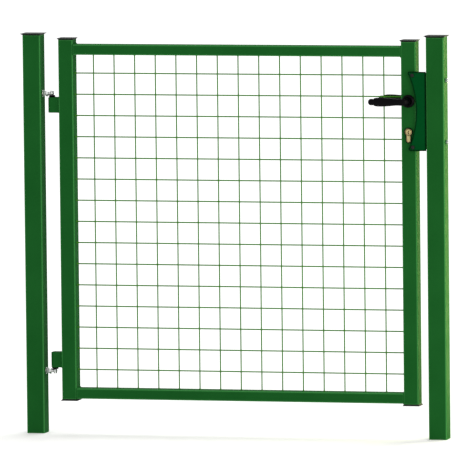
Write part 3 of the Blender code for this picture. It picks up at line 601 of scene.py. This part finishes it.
def build_cap(node, tube, direction, body):
    """A push-in cap with a thin flange that flares out past the tube, and a faintly domed face."""
    low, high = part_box(node)
    flange = Vector((high.x - low.x, high.y - low.y))
    tube_size = Vector((tube[1].x - tube[0].x, tube[1].y - tube[0].y))
    plug_size = tube_size - Vector((1.0, 1.0)) * (2 * TUBE_WALL + 2 * CLEARANCE)
    outer = high.z if direction > 0 else -low.z
    inner = low.z if direction > 0 else -high.z
    seat = (tube[1].z if direction > 0 else -tube[0].z) + CLEARANCE
    face_height, face_crown = 0.0006, 0.0004
    rim = outer - face_height - face_crown
    plug_corner, lead_in = 0.002, 0.002
    seat_corner, rim_corner = 0.003, 0.0012
    rows = [
        (plug_size * 0.97, inner, plug_corner),
        (plug_size, inner + lead_in, plug_corner),
        (plug_size, seat, plug_corner),
        (tube_size, seat, seat_corner),
    ]
    flare_steps, flare_power = 5, 1.35
    for i in range(1, flare_steps + 1):
        share = i / flare_steps
        size = tube_size + (flange - tube_size) * share**flare_power
        corner = seat_corner + (rim_corner - seat_corner) * share
        rows.append((size, seat + (rim - seat) * share, corner))
    thin = Vector((1.0, 1.0)) * 0.0005
    rows += [(flange, rim + face_height / 2, rim_corner), (flange - thin, rim + face_height, rim_corner)]
    for share in (0.9, 0.72, 0.5, 0.25, 0.08):
        crown = (1.0 - share * share) * face_crown
        rows.append((flange * share, rim + face_height + crown, 0.02 * share * flange.x))
    rings = []
    for size, height, corner in rows:
        rings.append([(u, v, direction * height) for u, v in rounded_rectangle(size.x, size.y, corner)])
    centre = (tube[0] + tube[1]) / 2
    cap = lofted(node + "_moulding", rings, at(centre.x, centre.y, 0.0), smooth=30)
    piece(weighted(cap), "cap_plastic", body, node)


def build_leaf_frame():
    tube_piece(upright("hinge_stile_tube", HINGE_STILE), "leaf", "hinge_stile")
    lock_stile = upright("lock_stile_tube", LOCK_STILE)
    cut_lock_openings(lock_stile)
    tube_piece(lock_stile, "leaf", "lock_stile")
    for node in ("top_rail", "bottom_rail"):
        low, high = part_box(node)
        size = high - low
        centre = (low + high) / 2
        rings = tube_rings(size.y, size.z, size.x)
        rail = lofted(node + "_tube", rings, at(low.x, 0, centre.z) @ ALONG_X, endless=True)
        tube_piece(rail, "leaf", node)
        outline = rounded_rectangle(size.y, size.z, TUBE_CORNER)
        for end, x in (("hinge", low.x - CLEARANCE), ("lock", high.x + CLEARANCE)):
            weld = build_bead(f"{node}_{end}_weld", outline, RAIL_BEAD, at(x, 0, centre.z), 0.0015, 0.0002)
            piece(weld, "green_powder_coat", "leaf")
    for side, box in (("hinge", HINGE_STILE), ("lock", LOCK_STILE)):
        build_cap(f"{side}_stile_top_cap", box, 1, "leaf")
        build_cap(f"{side}_stile_bottom_cap", box, -1, "leaf")


def build_bead(name, outline, radius, place, sunk_at_faces, sunk_at_ends):
    """A rippled weld bead round an outline that butts against a tube."""
    steps = even_steps(outline, BEAD_RIPPLE / 4)
    sides = 10
    rings = []
    length = 0.0
    last = steps[0][0]
    for point, outward in steps:
        length += (point - last).length
        last = point
        ripple = 1.0 + 0.09 * math.cos(2 * math.pi * length / BEAD_RIPPLE)
        wander = 1.0 + 0.1 * noise.noise(Vector((length * 150.0, radius * 1e4, 0.0)))
        size = radius * ripple * wander
        sunk = sunk_at_faces * abs(outward.x) + sunk_at_ends * abs(outward.y)
        ring = []
        for i in range(sides):
            angle = 2 * math.pi * i / sides
            out = size * math.cos(angle) - sunk
            ring.append((point.x + outward.x * out, point.y + outward.y * out, size * math.sin(angle)))
        rings.append(ring)
    return lofted(name, rings, place @ ALONG_X, endless=True, smooth=70)


def cut_lock_openings(stile):
    reach = LEAF_HALF + CUT_PAST
    neck = circle(0.01, 40)
    neck_hole = hole(neck, -reach, reach, at(LOCK_X, 0, LEVER_Z) @ FACING_FRONT)
    profile = cylinder_profile(2 * CLEARANCE)
    cylinder_hole = hole(profile, -reach, reach, at(LOCK_X, 0, PLUG_Z) @ FACING_FRONT)
    low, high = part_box("lock_case")
    margin = 0.001
    slot = rectangle(high.y - low.y + 2 * CLEARANCE, high.z - low.z + 2 * margin)
    place = at(LEAF_RIGHT, 0, level_of("lock_case")) @ ALONG_X
    case_slot = hole(slot, -CUT_PAST, CUT_PAST, place)
    screw_holes = []
    screw_radius = 0.0023
    for node in ("upper_faceplate_screw", "lower_faceplate_screw"):
        place = at(LEAF_RIGHT, 0, level_of(node)) @ ALONG_X
        screw_holes.append(hole(circle(screw_radius, 20), -CUT_PAST, CUT_PAST, place))
    cut(stile, neck_hole, cylinder_hole, case_slot, *screw_holes)


def wire(shell, start, end, bow):
    """One round wire, slightly bowed, its ends flared where they are welded to the frame."""
    start, end = Vector(start), Vector(end)
    run = end - start
    forward = run.normalized()
    side = Vector((0.0, 1.0, 0.0))
    other = forward.cross(side)
    flare, flare_growth = 0.0022, 0.75
    waves = 1.5  # along one wire
    along = [0.0, flare * 0.35, flare]
    count = 2 * (WIRE_COUNT + 1)
    along += [run.length * i / count for i in range(1, count)]
    along += [run.length - flare, run.length - flare * 0.35, run.length]
    rings = []
    for distance in along:
        share = distance / run.length
        nearest = min(distance, run.length - distance)
        swell = max(0.0, 1.0 - nearest / flare)
        radius = WIRE_RADIUS * (1.0 + flare_growth * swell * swell)
        centre = start + run * share + other * (bow * math.sin(2 * math.pi * share * waves))
        ring = []
        for i in range(WIRE_SIDES):
            angle = 2 * math.pi * i / WIRE_SIDES
            ring.append(centre + side * (radius * math.cos(angle)) + other * (radius * math.sin(angle)))
        rings.append(ring)
    loft(shell, rings)


def nugget(shell, centre):
    """The collar of metal squeezed out where two wires are welded."""
    profile = [(0.0005, -0.0011), (0.0016, -0.0007), (0.002, 0.0), (0.0016, 0.0007), (0.0005, 0.0011)]
    rings = []
    for radius, y in profile:
        rings.append([(centre[0] + u, y, centre[1] + v) for u, v in circle(radius, 10)])
    loft(shell, rings)


def build_mesh_panel():
    low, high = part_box("mesh_panel")
    centre = (low + high) / 2
    offsets = [(i - (WIRE_COUNT - 1) / 2) * WIRE_PITCH for i in range(WIRE_COUNT)]
    upright_y = WIRE_RADIUS - WIRE_WELD / 2
    shell = bmesh.new()
    most_bow = 0.00025
    for i, offset in enumerate(offsets):
        bow = most_bow * noise.noise(Vector((i * 1.7, 0.3, 0.0)))
        x = centre.x + offset
        wire(shell, (x, upright_y, low.z), (x, upright_y, high.z), bow)
        z = centre.z + offset
        wire(shell, (low.x, -upright_y, z), (high.x, -upright_y, z), -bow)
    for across in offsets:
        for up in offsets:
            nugget(shell, (centre.x + across, centre.z + up))
    panel = made_object("welded_mesh", shell, smooth=60)
    piece(panel, "green_mesh", "leaf", "mesh_panel")


# Hinges


def thread(name, radius, length, place):
    """A threaded rod along Z with ends chamfered at 45 degrees."""
    sides = 24
    steps_per_turn = 7
    count = math.ceil(length / THREAD_PITCH * steps_per_turn)
    below = 0.0002  # how far the chamfer at each end starts under the thread's root
    rings = []
    for step in range(count + 1):
        height = length * step / count
        ring = []
        for i in range(sides):
            turn = i / sides
            phase = (height / THREAD_PITCH - turn) % 1.0
            groove = THREAD_DEPTH * (1.0 - abs(2.0 * phase - 1.0)) ** 0.8
            room = min(height, length - height)
            reach = min(radius - groove, radius - THREAD_DEPTH - below + max(0.0, room))
            angle = 2 * math.pi * turn
            ring.append((reach * math.cos(angle), reach * math.sin(angle), height))
        rings.append(ring)
    return lofted(name, rings, place, smooth=50)


def hex_chamfer(flats, steps):
    """A nut's outside in section, from its turned face out to the hexagon's corners."""
    corner = flats / math.sqrt(3)
    face = flats / 2 * NUT_TURNED
    rise = (corner - face) / math.tan(math.radians(60))
    return [(face + (corner - face) * i / steps, rise * i / steps) for i in range(steps + 1)]


def nut_profile(bore, flats, height):
    """Round a nut's section, from its bore over both chamfered faces."""
    return mirrored([(bore, NUT_LEAD), (bore + NUT_LEAD, 0.0)] + hex_chamfer(flats, 5), height)


def build_hinge(level):
    low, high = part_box(f"{level}_pintle")
    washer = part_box(f"{level}_hinge_washer")
    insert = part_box(f"{level}_rivet_nut")
    stud_z = level_of(f"{level}_rivet_nut")
    stud = thread(f"{level}_pintle_forging", PIN_RADIUS, PIN_X - low.x, at(low.x, 0, stud_z) @ ALONG_X)
    round_end = 0.0009
    pin_end = [
        (PIN_RADIUS * 0.55, 0.0),
        (PIN_RADIUS - round_end * 0.4, round_end * 0.35),
        (PIN_RADIUS, round_end),
    ]
    pin = turned("pin", mirrored(pin_end, high.z - low.z), at(PIN_X, 0, low.z), 32)
    collar_radius, collar_rise, collar_half = 0.005, 0.0041, 0.0042
    collar_profile = [(PIN_RADIUS * 0.6, -collar_half)]
    for degrees in range(-50, 51, 10):
        angle = math.radians(degrees)
        collar_profile.append((collar_radius * math.cos(angle), collar_rise * math.sin(angle)))
    collar_profile.append((PIN_RADIUS * 0.6, collar_half))
    collar = turned("collar", collar_profile, at(PIN_X, 0, stud_z), 32)
    join(stud, pin, collar)
    stud.data.shade_smooth()
    stud.data.set_sharp_from_angle(angle=math.radians(50))
    piece(stud, "zinc_plated", "posts", f"{level}_pintle")

    wall = HINGE_POST[1].x
    flange = (insert[1].z - insert[0].z) / 2
    bore = PIN_RADIUS + CLEARANCE
    thickness = insert[1].x - wall
    profile = [
        (bore, insert[0].x - wall),
        (RIVET_SLEEVE, insert[0].x - wall),
        (RIVET_SLEEVE, CLEARANCE),
        (flange, CLEARANCE),
        (flange, thickness * 0.6),
        (flange - 0.0004, thickness),
        (bore + 0.0004, thickness),
        (bore, thickness * 0.6),
    ]
    rivet_nut = turned(f"{level}_rivet_nut_shell", profile, at(wall, 0, stud_z) @ ALONG_X, endless=True)
    piece(weighted(rivet_nut), "zinc_plated", "posts", f"{level}_rivet_nut")

    for kind, turn in (("wall_nut", 0.0), ("lock_nut", 17.0)):
        start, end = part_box(f"{level}_{kind}")
        rings_place = at(start.x, 0, stud_z) @ ALONG_X @ Matrix.Rotation(math.radians(turn), 4, "Z")
        profile = nut_profile(bore, NUT_FLATS, end.x - start.x)
        nut = turned(f"{level}_{kind}_hex", profile, rings_place, 72, NUT_FLATS, endless=True)
        piece(weighted(nut), "zinc_plated", "posts", f"{level}_{kind}")

    rim = (washer[1].x - washer[0].x) / 2
    soft = 0.0007
    face = [
        (bore, soft),
        (bore + soft, 0.0),
        (rim - soft, 0.0),
        (rim - soft * 0.3, soft * 0.3),
        (rim, soft),
    ]
    profile = mirrored(face, washer[1].z - washer[0].z)
    ring = turned(f"{level}_hinge_washer_ring", profile, at(PIN_X, 0, washer[0].z), endless=True)
    piece(ring, "black_handle", "posts", f"{level}_hinge_washer")
    build_lug(level)


def build_lug(level):
    """The block on the hinge stile, with its rippled weld and the pin's hole."""
    low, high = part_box(f"{level}_hinge_lug")
    half = high.y
    right = high.x - PIN_X
    outline = [(right, -half), (right, half)]
    outline += arc(LUG_NOSE, 90, 180, 10, (0.0, half - LUG_NOSE))
    outline += arc(LUG_NOSE, 180, 270, 10, (0.0, LUG_NOSE - half))
    place = at(PIN_X, 0, 0)
    lug = prism(f"{level}_hinge_lug_block", outline, low.z, high.z, place)
    bore = PIN_RADIUS + CLEARANCE
    cut(lug, hole(circle(bore, 32), low.z - CUT_PAST, high.z + CUT_PAST, place))
    bevelled(lug, 0.001)
    piece(lug, "green_powder_coat", "leaf", f"{level}_hinge_lug")
    outline = rounded_rectangle(high.y - low.y, high.z - low.z, 0.002)
    sunk = 0.0004
    place = at(high.x, 0, (low.z + high.z) / 2)
    weld = build_bead(f"{level}_hinge_lug_weld", outline, LUG_BEAD, place, sunk, sunk)
    piece(weld, "green_powder_coat", "leaf")


# Lock in the leaf


def rose_profile(bore, radius, depth):
    return [
        (bore, 0.0),
        (radius, 0.0),
        (radius, depth * 0.52),
        (radius - 0.0003, depth * 0.62),
        (radius - 0.0011, depth * 0.74),
        (radius - 0.0024, depth * 0.84),
        (radius - 0.0028, depth * 0.8),
        (radius - 0.0034, depth * 0.86),
        (bore + 0.0012, depth * 0.98),
        (bore + 0.0004, depth),
        (bore, depth * 0.94),
    ]


def build_roses():
    for side, facing in (("front", FACING_FRONT), ("back", FACING_BACK)):
        low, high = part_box(f"{side}_rose")
        radius = (high.x - low.x) / 2
        near = depths_of(f"{side}_rose")[0]
        profile = rose_profile(NECK_RADIUS + 2 * CLEARANCE, radius, high.y - low.y)
        place = at(LOCK_X, 0, LEVER_Z) @ facing @ at(0, 0, near)
        rose = turned(f"{side}_rose_ring", profile, place, 64, endless=True)
        piece(rose, "black_handle", "leaf", f"{side}_rose")


def smooth_between(rows, position):
    """Catmull-Rom values at a position along rows of (position, value, ...)."""
    last = len(rows) - 1
    i = max(0, min(last - 1, sum(1 for row in rows if row[0] <= position) - 1))
    before, first, second, after = rows[max(0, i - 1)], rows[i], rows[i + 1], rows[min(last, i + 2)]
    t = (position - first[0]) / (second[0] - first[0])
    values = []
    for a, b, c, d in list(zip(before, first, second, after))[1:]:
        square, cube = 2 * a - 5 * b + 4 * c - d, 3 * b - a - 3 * c + d
        values.append(0.5 * (2 * b + (c - a) * t + square * t**2 + cube * t**3))
    return values


# Half heights and half depths along the straight grip, by share of its length
GRIP = [
    (0.0, 0.0082, 0.0066),
    (0.16, 0.008, 0.0059),
    (0.34, 0.0093, 0.0064),
    (0.54, 0.0104, 0.0069),
    (0.72, 0.0104, 0.0069),
    (0.825, 0.009, 0.0062),
    (0.84, 0.0072, 0.0052),
    (0.85, 0.007, 0.0051),
    (0.865, 0.0076, 0.0054),
    (0.93, 0.0075, 0.0053),
    (0.975, 0.0062, 0.0045),
    (1.0, 0.003, 0.0022),
]


def lever_rings(near, grip, reach):
    """Rings along a lever: out along Z from the rose, round a bend, then along -X to the tip."""
    bend = 0.0095
    straight = grip - bend - near
    around = bend * math.pi / 2
    start = straight + around  # where the straight grip begins
    run = reach - bend
    rows = [
        (0.0, 0.0088, 0.0088),
        (straight * 0.35, 0.008, 0.008),
        (straight * 0.8, 0.0079, 0.0078),
        (straight + around * 0.5, 0.0084, 0.0078),
    ]
    rows += [(start + run * share, half_height, half_depth) for share, half_height, half_depth in GRIP]
    total = start + run
    count, sides = 110, 36
    squareness = 0.88  # under 1, the section's sides are flatter than an oval's
    rings = []
    for step in range(count + 1):
        travelled = total * step / count
        half_height, half_depth = smooth_between(rows, min(travelled, total - 1e-6))
        if travelled < straight:
            x, z, heading = 0.0, near + travelled, 0.0
        elif travelled < start:
            heading = (travelled - straight) / bend
            x = -bend + bend * math.cos(heading)
            z = near + straight + bend * math.sin(heading)
        else:
            heading = math.pi / 2
            x, z = -bend - (travelled - start), near + straight + bend
        ring = []
        for i in range(sides):
            angle = 2 * math.pi * i / sides
            across = math.copysign(abs(math.cos(angle)) ** squareness, math.cos(angle)) * half_depth
            up = math.copysign(abs(math.sin(angle)) ** squareness, math.sin(angle)) * half_height
            ring.append((x + across * math.cos(heading), up, z + across * math.sin(heading)))
        rings.append(ring)
    return rings


def on_lock(side, z):
    """On the lock's axis at this height, with Z out of the leaf on this side. The back mirrors the front."""
    flip = Matrix.Diagonal((1.0, 1.0 if side == "front" else -1.0, 1.0, 1.0))
    return at(LOCK_X, 0, z) @ flip @ FACING_FRONT


def build_levers():
    socket, socket_depth = 0.0083, 0.024
    grip_half = 0.0072
    for side in ("front", "back"):
        near, far = depths_of(f"{side}_lever")
        grip = far - grip_half
        reach = LOCK_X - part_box(f"{side}_lever")[0].x
        place = on_lock(side, LEVER_Z)
        lever = lofted(f"{side}_lever_handle", lever_rings(near, grip, reach), place, smooth=60)
        outline = rectangle(socket, socket)
        cut(lever, hole(outline, near - CUT_PAST, near + socket_depth, place))
        lever.data.shade_smooth()
        lever.data.set_sharp_from_angle(angle=math.radians(60))
        piece(lever, "black_handle", "levers", f"{side}_lever")


def build_cylinder():
    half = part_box("cylinder_body")[1].y
    plug = (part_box("front_plug")[1].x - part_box("front_plug")[0].x) / 2
    place = at(LOCK_X, 0, PLUG_Z) @ FACING_FRONT
    body = prism("cylinder_body_profile", cylinder_profile(), -half, half, place)
    cut(body, hole(circle(plug + CLEARANCE, 48), -half - CUT_PAST, half + CUT_PAST, place))
    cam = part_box("cylinder_cam")
    cam_half = cam[1].y + CLEARANCE
    top = PLUG_Z + 0.02
    bottom = cam[0].z - 2 * CLEARANCE
    slot = rectangle(0.04, top - bottom)
    cut(body, hole(slot, -cam_half, cam_half, at(LOCK_X, 0, (top + bottom) / 2) @ FACING_FRONT))
    screw_radius, screw_reach = 0.0025, 0.02
    screw_place = at(LOCK_X, 0, level_of("cylinder_screw")) @ ALONG_X
    cut(body, hole(circle(screw_radius, 20), -screw_reach, screw_reach, screw_place))
    bevelled(body, 0.0004, 2)
    piece(body, "brass", "leaf", "cylinder_body")

    rim = 0.0015
    for side in ("front", "back"):
        near, far = depths_of(f"{side}_cylinder_rose")
        place = on_lock(side, PLUG_Z)
        escutcheon = prism(f"{side}_cylinder_escutcheon", cylinder_profile(rim), near, far, place)
        inner = cylinder_profile(CLEARANCE)
        cut(escutcheon, hole(inner, near - CUT_PAST, far + CUT_PAST, place))
        bevelled(escutcheon, 0.0004, 3)
        piece(escutcheon, "black_handle", "leaf", f"{side}_cylinder_rose")
        build_plug(side, place, plug)


def build_plug(side, place, radius):
    """Half of the plug: a ground rim, a shallow dish round the keyway, and the keyway's warded outline."""
    near, far = depths_of(f"{side}_plug")
    profile = [
        (radius * 0.96, near),
        (radius, near + 0.0003),
        (radius, far - 0.0004),
        (radius - 0.0003, far - 0.0001),
        (radius - 0.001, far),
        (radius - 0.0013, far - 0.0002),
        (radius * 0.1, far - 0.0002),
    ]
    plug = turned(f"{side}_plug_barrel", profile, place, 48)
    keyway_depth = 0.012
    slots = []
    for width, bottom, top, shift in (
        (0.0022, -0.0048, -0.0018, 0.0),
        (0.0013, -0.0022, 0.0012, -0.0005),
        (0.0017, 0.0008, 0.0034, 0.0002),
    ):
        outline = rectangle(width, top - bottom, (shift, (top + bottom) / 2))
        slots.append(hole(outline, far - keyway_depth, far + CUT_PAST, place))
    cut(plug, *slots)
    plug.data.shade_smooth()
    plug.data.set_sharp_from_angle(angle=math.radians(35))
    piece(plug, "brass_plug", "key_plug", f"{side}_plug", slot="brass")


def build_faceplate():
    low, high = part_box("lock_faceplate")
    size = high - low
    middle = level_of("lock_faceplate")
    place = at(low.x, 0, middle) @ ALONG_X
    plate = prism("lock_faceplate_strip", rounded_rectangle(size.y, size.z, 0.002), 0.0, size.x, place)
    room = 0.001
    holes = []
    for node in ("latch_bolt", "deadbolt"):
        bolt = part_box(node)
        wide, tall = bolt[1].y - bolt[0].y + room, bolt[1].z - bolt[0].z + room
        window = rectangle(wide, tall, (0.0, level_of(node) - middle))
        holes.append(hole(window, -CUT_PAST, CUT_PAST, place))
    screws = ("upper_faceplate_screw", "lower_faceplate_screw", "cylinder_screw")
    for node in screws:
        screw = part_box(node)
        radius = (screw[1].z - screw[0].z) / 2 + CLEARANCE
        outline = circle(radius, 32, (0.0, level_of(node) - middle))
        holes.append(hole(outline, -CUT_PAST, CUT_PAST, place))
    cut(plate, *holes)
    bevelled(plate, 0.0003, 2)
    piece(plate, "lock_steel", "leaf", "lock_faceplate")
    for node in screws:
        build_screw(node, size.x)


def build_screw(node, head_height):
    """A countersunk machine screw with a cross recess."""
    low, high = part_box(node)
    radius = (high.z - low.z) / 2
    length = high.x - low.x
    shank = radius * 0.46
    profile = [
        (shank * 0.6, 0.0),
        (shank, 0.0008),
        (shank, length - head_height),
        (radius - 0.0003, length - 0.0009),
        (radius, length - 0.0005),
        (radius - 0.0002, length - 0.0001),
        (radius - 0.0008, length),
    ]
    place = at(low.x, 0, level_of(node)) @ ALONG_X
    screw = turned(node + "_cross", profile, place, 36)
    recess, arm_width, arm_length = 0.0016, 0.0009, radius * 1.15
    arms = [rectangle(arm_width, arm_length), rectangle(arm_length, arm_width)]
    cut(screw, *[hole(arm, length - recess, length + CUT_PAST, place) for arm in arms])
    screw.data.set_sharp_from_angle(angle=math.radians(35))
    piece(screw, "lock_steel", "leaf", node)


def build_bolts():
    """The latch, bevelled on its front side, and the square-ended deadbolt."""
    low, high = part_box("latch_bolt")
    half_depth = half_width("latch_bolt")
    head_back = LOCK_X + 0.0035
    ramp = 0.008
    nose = 0.004
    outline = [(head_back, -half_depth), (high.x - ramp, -half_depth), (high.x, half_depth - nose)]
    outline += [(high.x, half_depth), (head_back, half_depth)]
    latch = prism("latch_bolt_head", outline, low.z, high.z)
    lug_top = low.z + 0.011
    overlap = 0.002  # of the tail in the head, and the lug's thickness
    tail_inner, lug_inner, outer = 0.0045, 0.005, half_depth - CLEARANCE
    tail_end = head_back + overlap
    outline = [(low.x, tail_inner), (tail_end, tail_inner), (tail_end, outer), (low.x, outer)]
    tail = prism("tail", outline, low.z, lug_top)
    lug_end = low.x + overlap
    outline = [(low.x, -outer), (lug_end, -outer), (lug_end, lug_inner), (low.x, lug_inner)]
    lug = prism("lug", outline, low.z, lug_top)
    join(latch, tail, lug)
    bevelled(latch, 0.0005, 3)
    piece(latch, "lock_steel", "latch", "latch_bolt")

    low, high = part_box("deadbolt")
    outline = rectangle(high.x - low.x, high.y - low.y, ((low.x + high.x) / 2, 0.0))
    deadbolt = prism("deadbolt_bar", outline, low.z, high.z)
    bevelled(deadbolt, 0.0009, 3)
    piece(deadbolt, "lock_steel", "deadbolt", "deadbolt")


# Keep on the lock post


def build_keep():
    low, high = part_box("keep_body")
    outline = rectangle(high.x - low.x, high.y - low.y, ((low.x + high.x) / 2, (low.y + high.y) / 2))
    keep = prism("keep_block", outline, low.z, high.z)
    side_room, end_room = 0.0015, 0.003
    holes = []
    for node in ("latch_bolt", "deadbolt"):
        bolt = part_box(node)
        half = half_width(node) + side_room
        pocket = rectangle(0.05, 2 * half, (low.x, 0.0))
        holes.append(hole(pocket, bolt[0].z - end_room, bolt[1].z + end_room))
    for level in LEVELS:
        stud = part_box(f"{level}_keep_stud")
        radius = half_width(f"{level}_keep_stud") + CLEARANCE
        place = at(stud[0].x - CLEARANCE, 0, level_of(f"{level}_keep_stud")) @ ALONG_X
        holes.append(hole(circle(radius, 24), 0.0, 0.03, place))
    cut(keep, *holes)
    bevelled(keep, 0.0008, 3)
    piece(keep, "dark_green_plate", "posts", "keep_body")
    build_stop_plate()
    for level in LEVELS:
        build_cap_nut(level)
        build_buffer(level)


def stop_outline(low, high):
    """The plate's outline in X and Z about its middle: straight by the post, hollowed on its free edge."""
    height = high.z - low.z
    chord = height - 2 * STOP_EAR
    radius = (chord * chord / 4 + STOP_HOLLOW * STOP_HOLLOW) / (2 * STOP_HOLLOW)
    sweep = math.degrees(math.asin(chord / 2 / radius))
    middle = (high.z + low.z) / 2
    edge = low.x + 0.0015
    ear = 0.006
    corner = 0.0012
    top = high.z - middle
    points = [(high.x, -top), (high.x, top)]
    points += arc(corner, 90, 180, 4, (low.x + corner, top - corner))
    points += [(low.x, top - STOP_EAR)]
    points += arc(radius, sweep, -sweep, 48, (edge + STOP_HOLLOW - radius, 0.0))
    points += arc(ear, 180, 270, 10, (low.x + ear, ear - top))
    return points


def build_stop_plate():
    low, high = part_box("keep_stop_plate")
    place = at(0, 0, level_of("keep_stop_plate")) @ FACING_FRONT
    plate = prism("keep_stop_plate_sheet", stop_outline(low, high), -high.y, -low.y, place)
    holes = []
    for level in LEVELS:
        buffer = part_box(f"{level}_stop_buffer")
        x = (buffer[0].x + buffer[1].x) / 2
        place = at(x, 0, level_of(f"{level}_stop_buffer")) @ FACING_FRONT
        holes.append(hole(circle(STEM_RADIUS + CLEARANCE, 24), 0.0, 0.05, place))
    cut(plate, *holes)
    bevelled(plate, 0.0006, 3)
    # The plate's near-black edges are painted shade
    piece(plate, "dark_green_plate", "posts", "keep_stop_plate")


def build_cap_nut(level):
    """A dome nut on the stud's end, against the post's outer face."""
    low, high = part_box(f"{level}_keep_cap_nut")
    flats = 0.01
    hex_height = 0.005
    bore = half_width(f"{level}_keep_stud") + CLEARANCE
    bore_depth = 0.0063
    axis = 0.0003  # a small radius that closes the profile at the axis
    profile = [(axis, bore_depth), (bore, bore_depth), (bore, NUT_LEAD), (bore + NUT_LEAD, 0.0)]
    profile += mirrored(hex_chamfer(flats, 4), hex_height)
    dome = flats / 2 * 0.92
    tall = high.x - low.x - hex_height
    for degrees in range(0, 90, 10):
        angle = math.radians(degrees)
        profile.append((dome * math.cos(angle), hex_height + tall * math.sin(angle)))
    profile.append((axis, hex_height + tall))
    place = at(low.x, 0, level_of(f"{level}_keep_cap_nut")) @ ALONG_X
    nut = turned(f"{level}_keep_dome_nut", profile, place, 72, flats)
    piece(weighted(nut), "zinc_plated", "posts", f"{level}_keep_cap_nut")


def build_buffer(level):
    """A rubber stop: a pad behind the plate, a stem through it and a soft head in front."""
    low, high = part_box(f"{level}_stop_buffer")
    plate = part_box("keep_stop_plate")
    radius = (high.x - low.x) / 2
    front, back = -plate[0].y + CLEARANCE, -plate[1].y - CLEARANCE
    soft = 0.0004
    head = radius - soft
    profile = [
        (radius * 0.3, -high.y),
        (radius - soft, -high.y),
        (radius, -high.y + soft),
        (radius, back),
        (STEM_RADIUS, back),
        (STEM_RADIUS, front),
        (head, front),
        (head - 0.0002, front + 0.0006),
        (head * 0.8, -low.y - 0.0003),
        (head * 0.35, -low.y),
    ]
    place = at((low.x + high.x) / 2, 0, level_of(f"{level}_stop_buffer")) @ FACING_FRONT
    buffer = turned(f"{level}_stop_buffer_rubber", profile, place, 36)
    piece(buffer, "rubber", "posts", f"{level}_stop_buffer")


def finish_inner_nodes():
    """The frame's hidden solids keep their shape and get the finish of what they are."""
    inner = {
        "lock_case": "lock_steel",
        "spindle": "zinc_plated",
        "follower": "lock_steel",
        "cylinder_cam": "lock_steel",
        "upper_keep_stud": "zinc_plated",
        "lower_keep_stud": "zinc_plated",
    }
    for node, finish in inner.items():
        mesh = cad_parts[node].data
        mesh.materials.clear()
        mesh.materials.append(FINISH[finish])


# Studio


def build_floor():
    sides = 96
    shell = bmesh.new()
    rings = [[(u, v, 0.0) for u, v in circle(radius, sides)] for radius in (60.0, 8.0, 2.0)]
    loops = [[shell.verts.new(point) for point in ring] for ring in rings]
    for first, second in zip(loops, loops[1:]):
        for i in range(sides):
            j = (i + 1) % sides
            shell.faces.new((first[i], first[j], second[j], second[i]))
    shell.faces.new(loops[-1])
    floor = made_object("studio_floor", shell)
    floor.data.materials.append(studio_floor())
    for face in floor.data.polygons:
        face.use_smooth = False


def area_light(name, location, target, size, power, colour=(1.0, 1.0, 1.0), beam=180):
    data = bpy.data.lights.new(name, "AREA")
    data.shape = "RECTANGLE"
    data.size, data.size_y = size
    data.energy = power
    data.color = colour
    data.spread = math.radians(beam)
    light = in_scene(name, data)
    light.location = location
    aim = Vector(target) - Vector(location)
    light.rotation_mode = "QUATERNION"
    light.rotation_quaternion = aim.to_track_quat("-Z", "Y")
    light.visible_camera = False


def build_lights():
    world = bpy.data.worlds.new("studio")
    world.use_nodes = True
    background = world.node_tree.nodes["Background"]
    background.inputs["Color"].default_value = (1.0, 1.0, 1.0, 1.0)
    background.inputs["Strength"].default_value = 1.0
    bpy.context.scene.world = world
    sun = bpy.data.lights.new("high_soft_sun", "SUN")
    sun.energy = 1.5
    sun.angle = math.radians(50)
    in_scene("high_soft_sun", sun).rotation_euler = (math.radians(-38), math.radians(10), 0.0)
    middle = (LOCK_POST[0].z + LOCK_POST[1].z) / 2
    area_light(
        "right_strip", (0.86, 0.62, middle), (0.47, 0.0, middle), (0.25, 1.3), 4.0, (0.9, 1.0, 0.36), 50
    )
    area_light("right_key", (2.6, -1.0, 1.0), (0.0, 0.0, 0.5), (0.8, 1.8), 30.0, (1.0, 0.93, 0.72))


def build_camera():
    azimuth, elevation, roll = math.radians(14.0), math.radians(5.0), math.radians(0.6)
    data = bpy.data.cameras.new("camera")
    data.lens = 700.0
    data.sensor_width = 36.0
    width = 1.102  # seen at the gate's distance
    distance = width * data.lens / data.sensor_width
    data.clip_end = 200.0
    camera = in_scene("camera", data)
    back = Vector((math.sin(azimuth) * math.cos(elevation), -math.cos(azimuth) * math.cos(elevation), 0.0))
    back.z = math.sin(elevation)
    looked_at = Vector((-0.002, 0.0, 0.473))
    camera.location = looked_at + back * distance
    camera.rotation_mode = "QUATERNION"
    level = (-back).to_track_quat("-Z", "Y")
    camera.rotation_quaternion = level @ Quaternion((0.0, 0.0, 1.0), -roll)
    bpy.context.scene.camera = camera


def build():
    build_posts()
    build_leaf_frame()
    build_mesh_panel()
    build_hinge("upper")
    build_hinge("lower")
    build_roses()
    build_levers()
    build_cylinder()
    build_faceplate()
    build_bolts()
    build_keep()
    finish_inner_nodes()
    build_floor()
    build_lights()
    build_camera()
    bpy.context.scene.view_settings.view_transform = "Standard"


build()
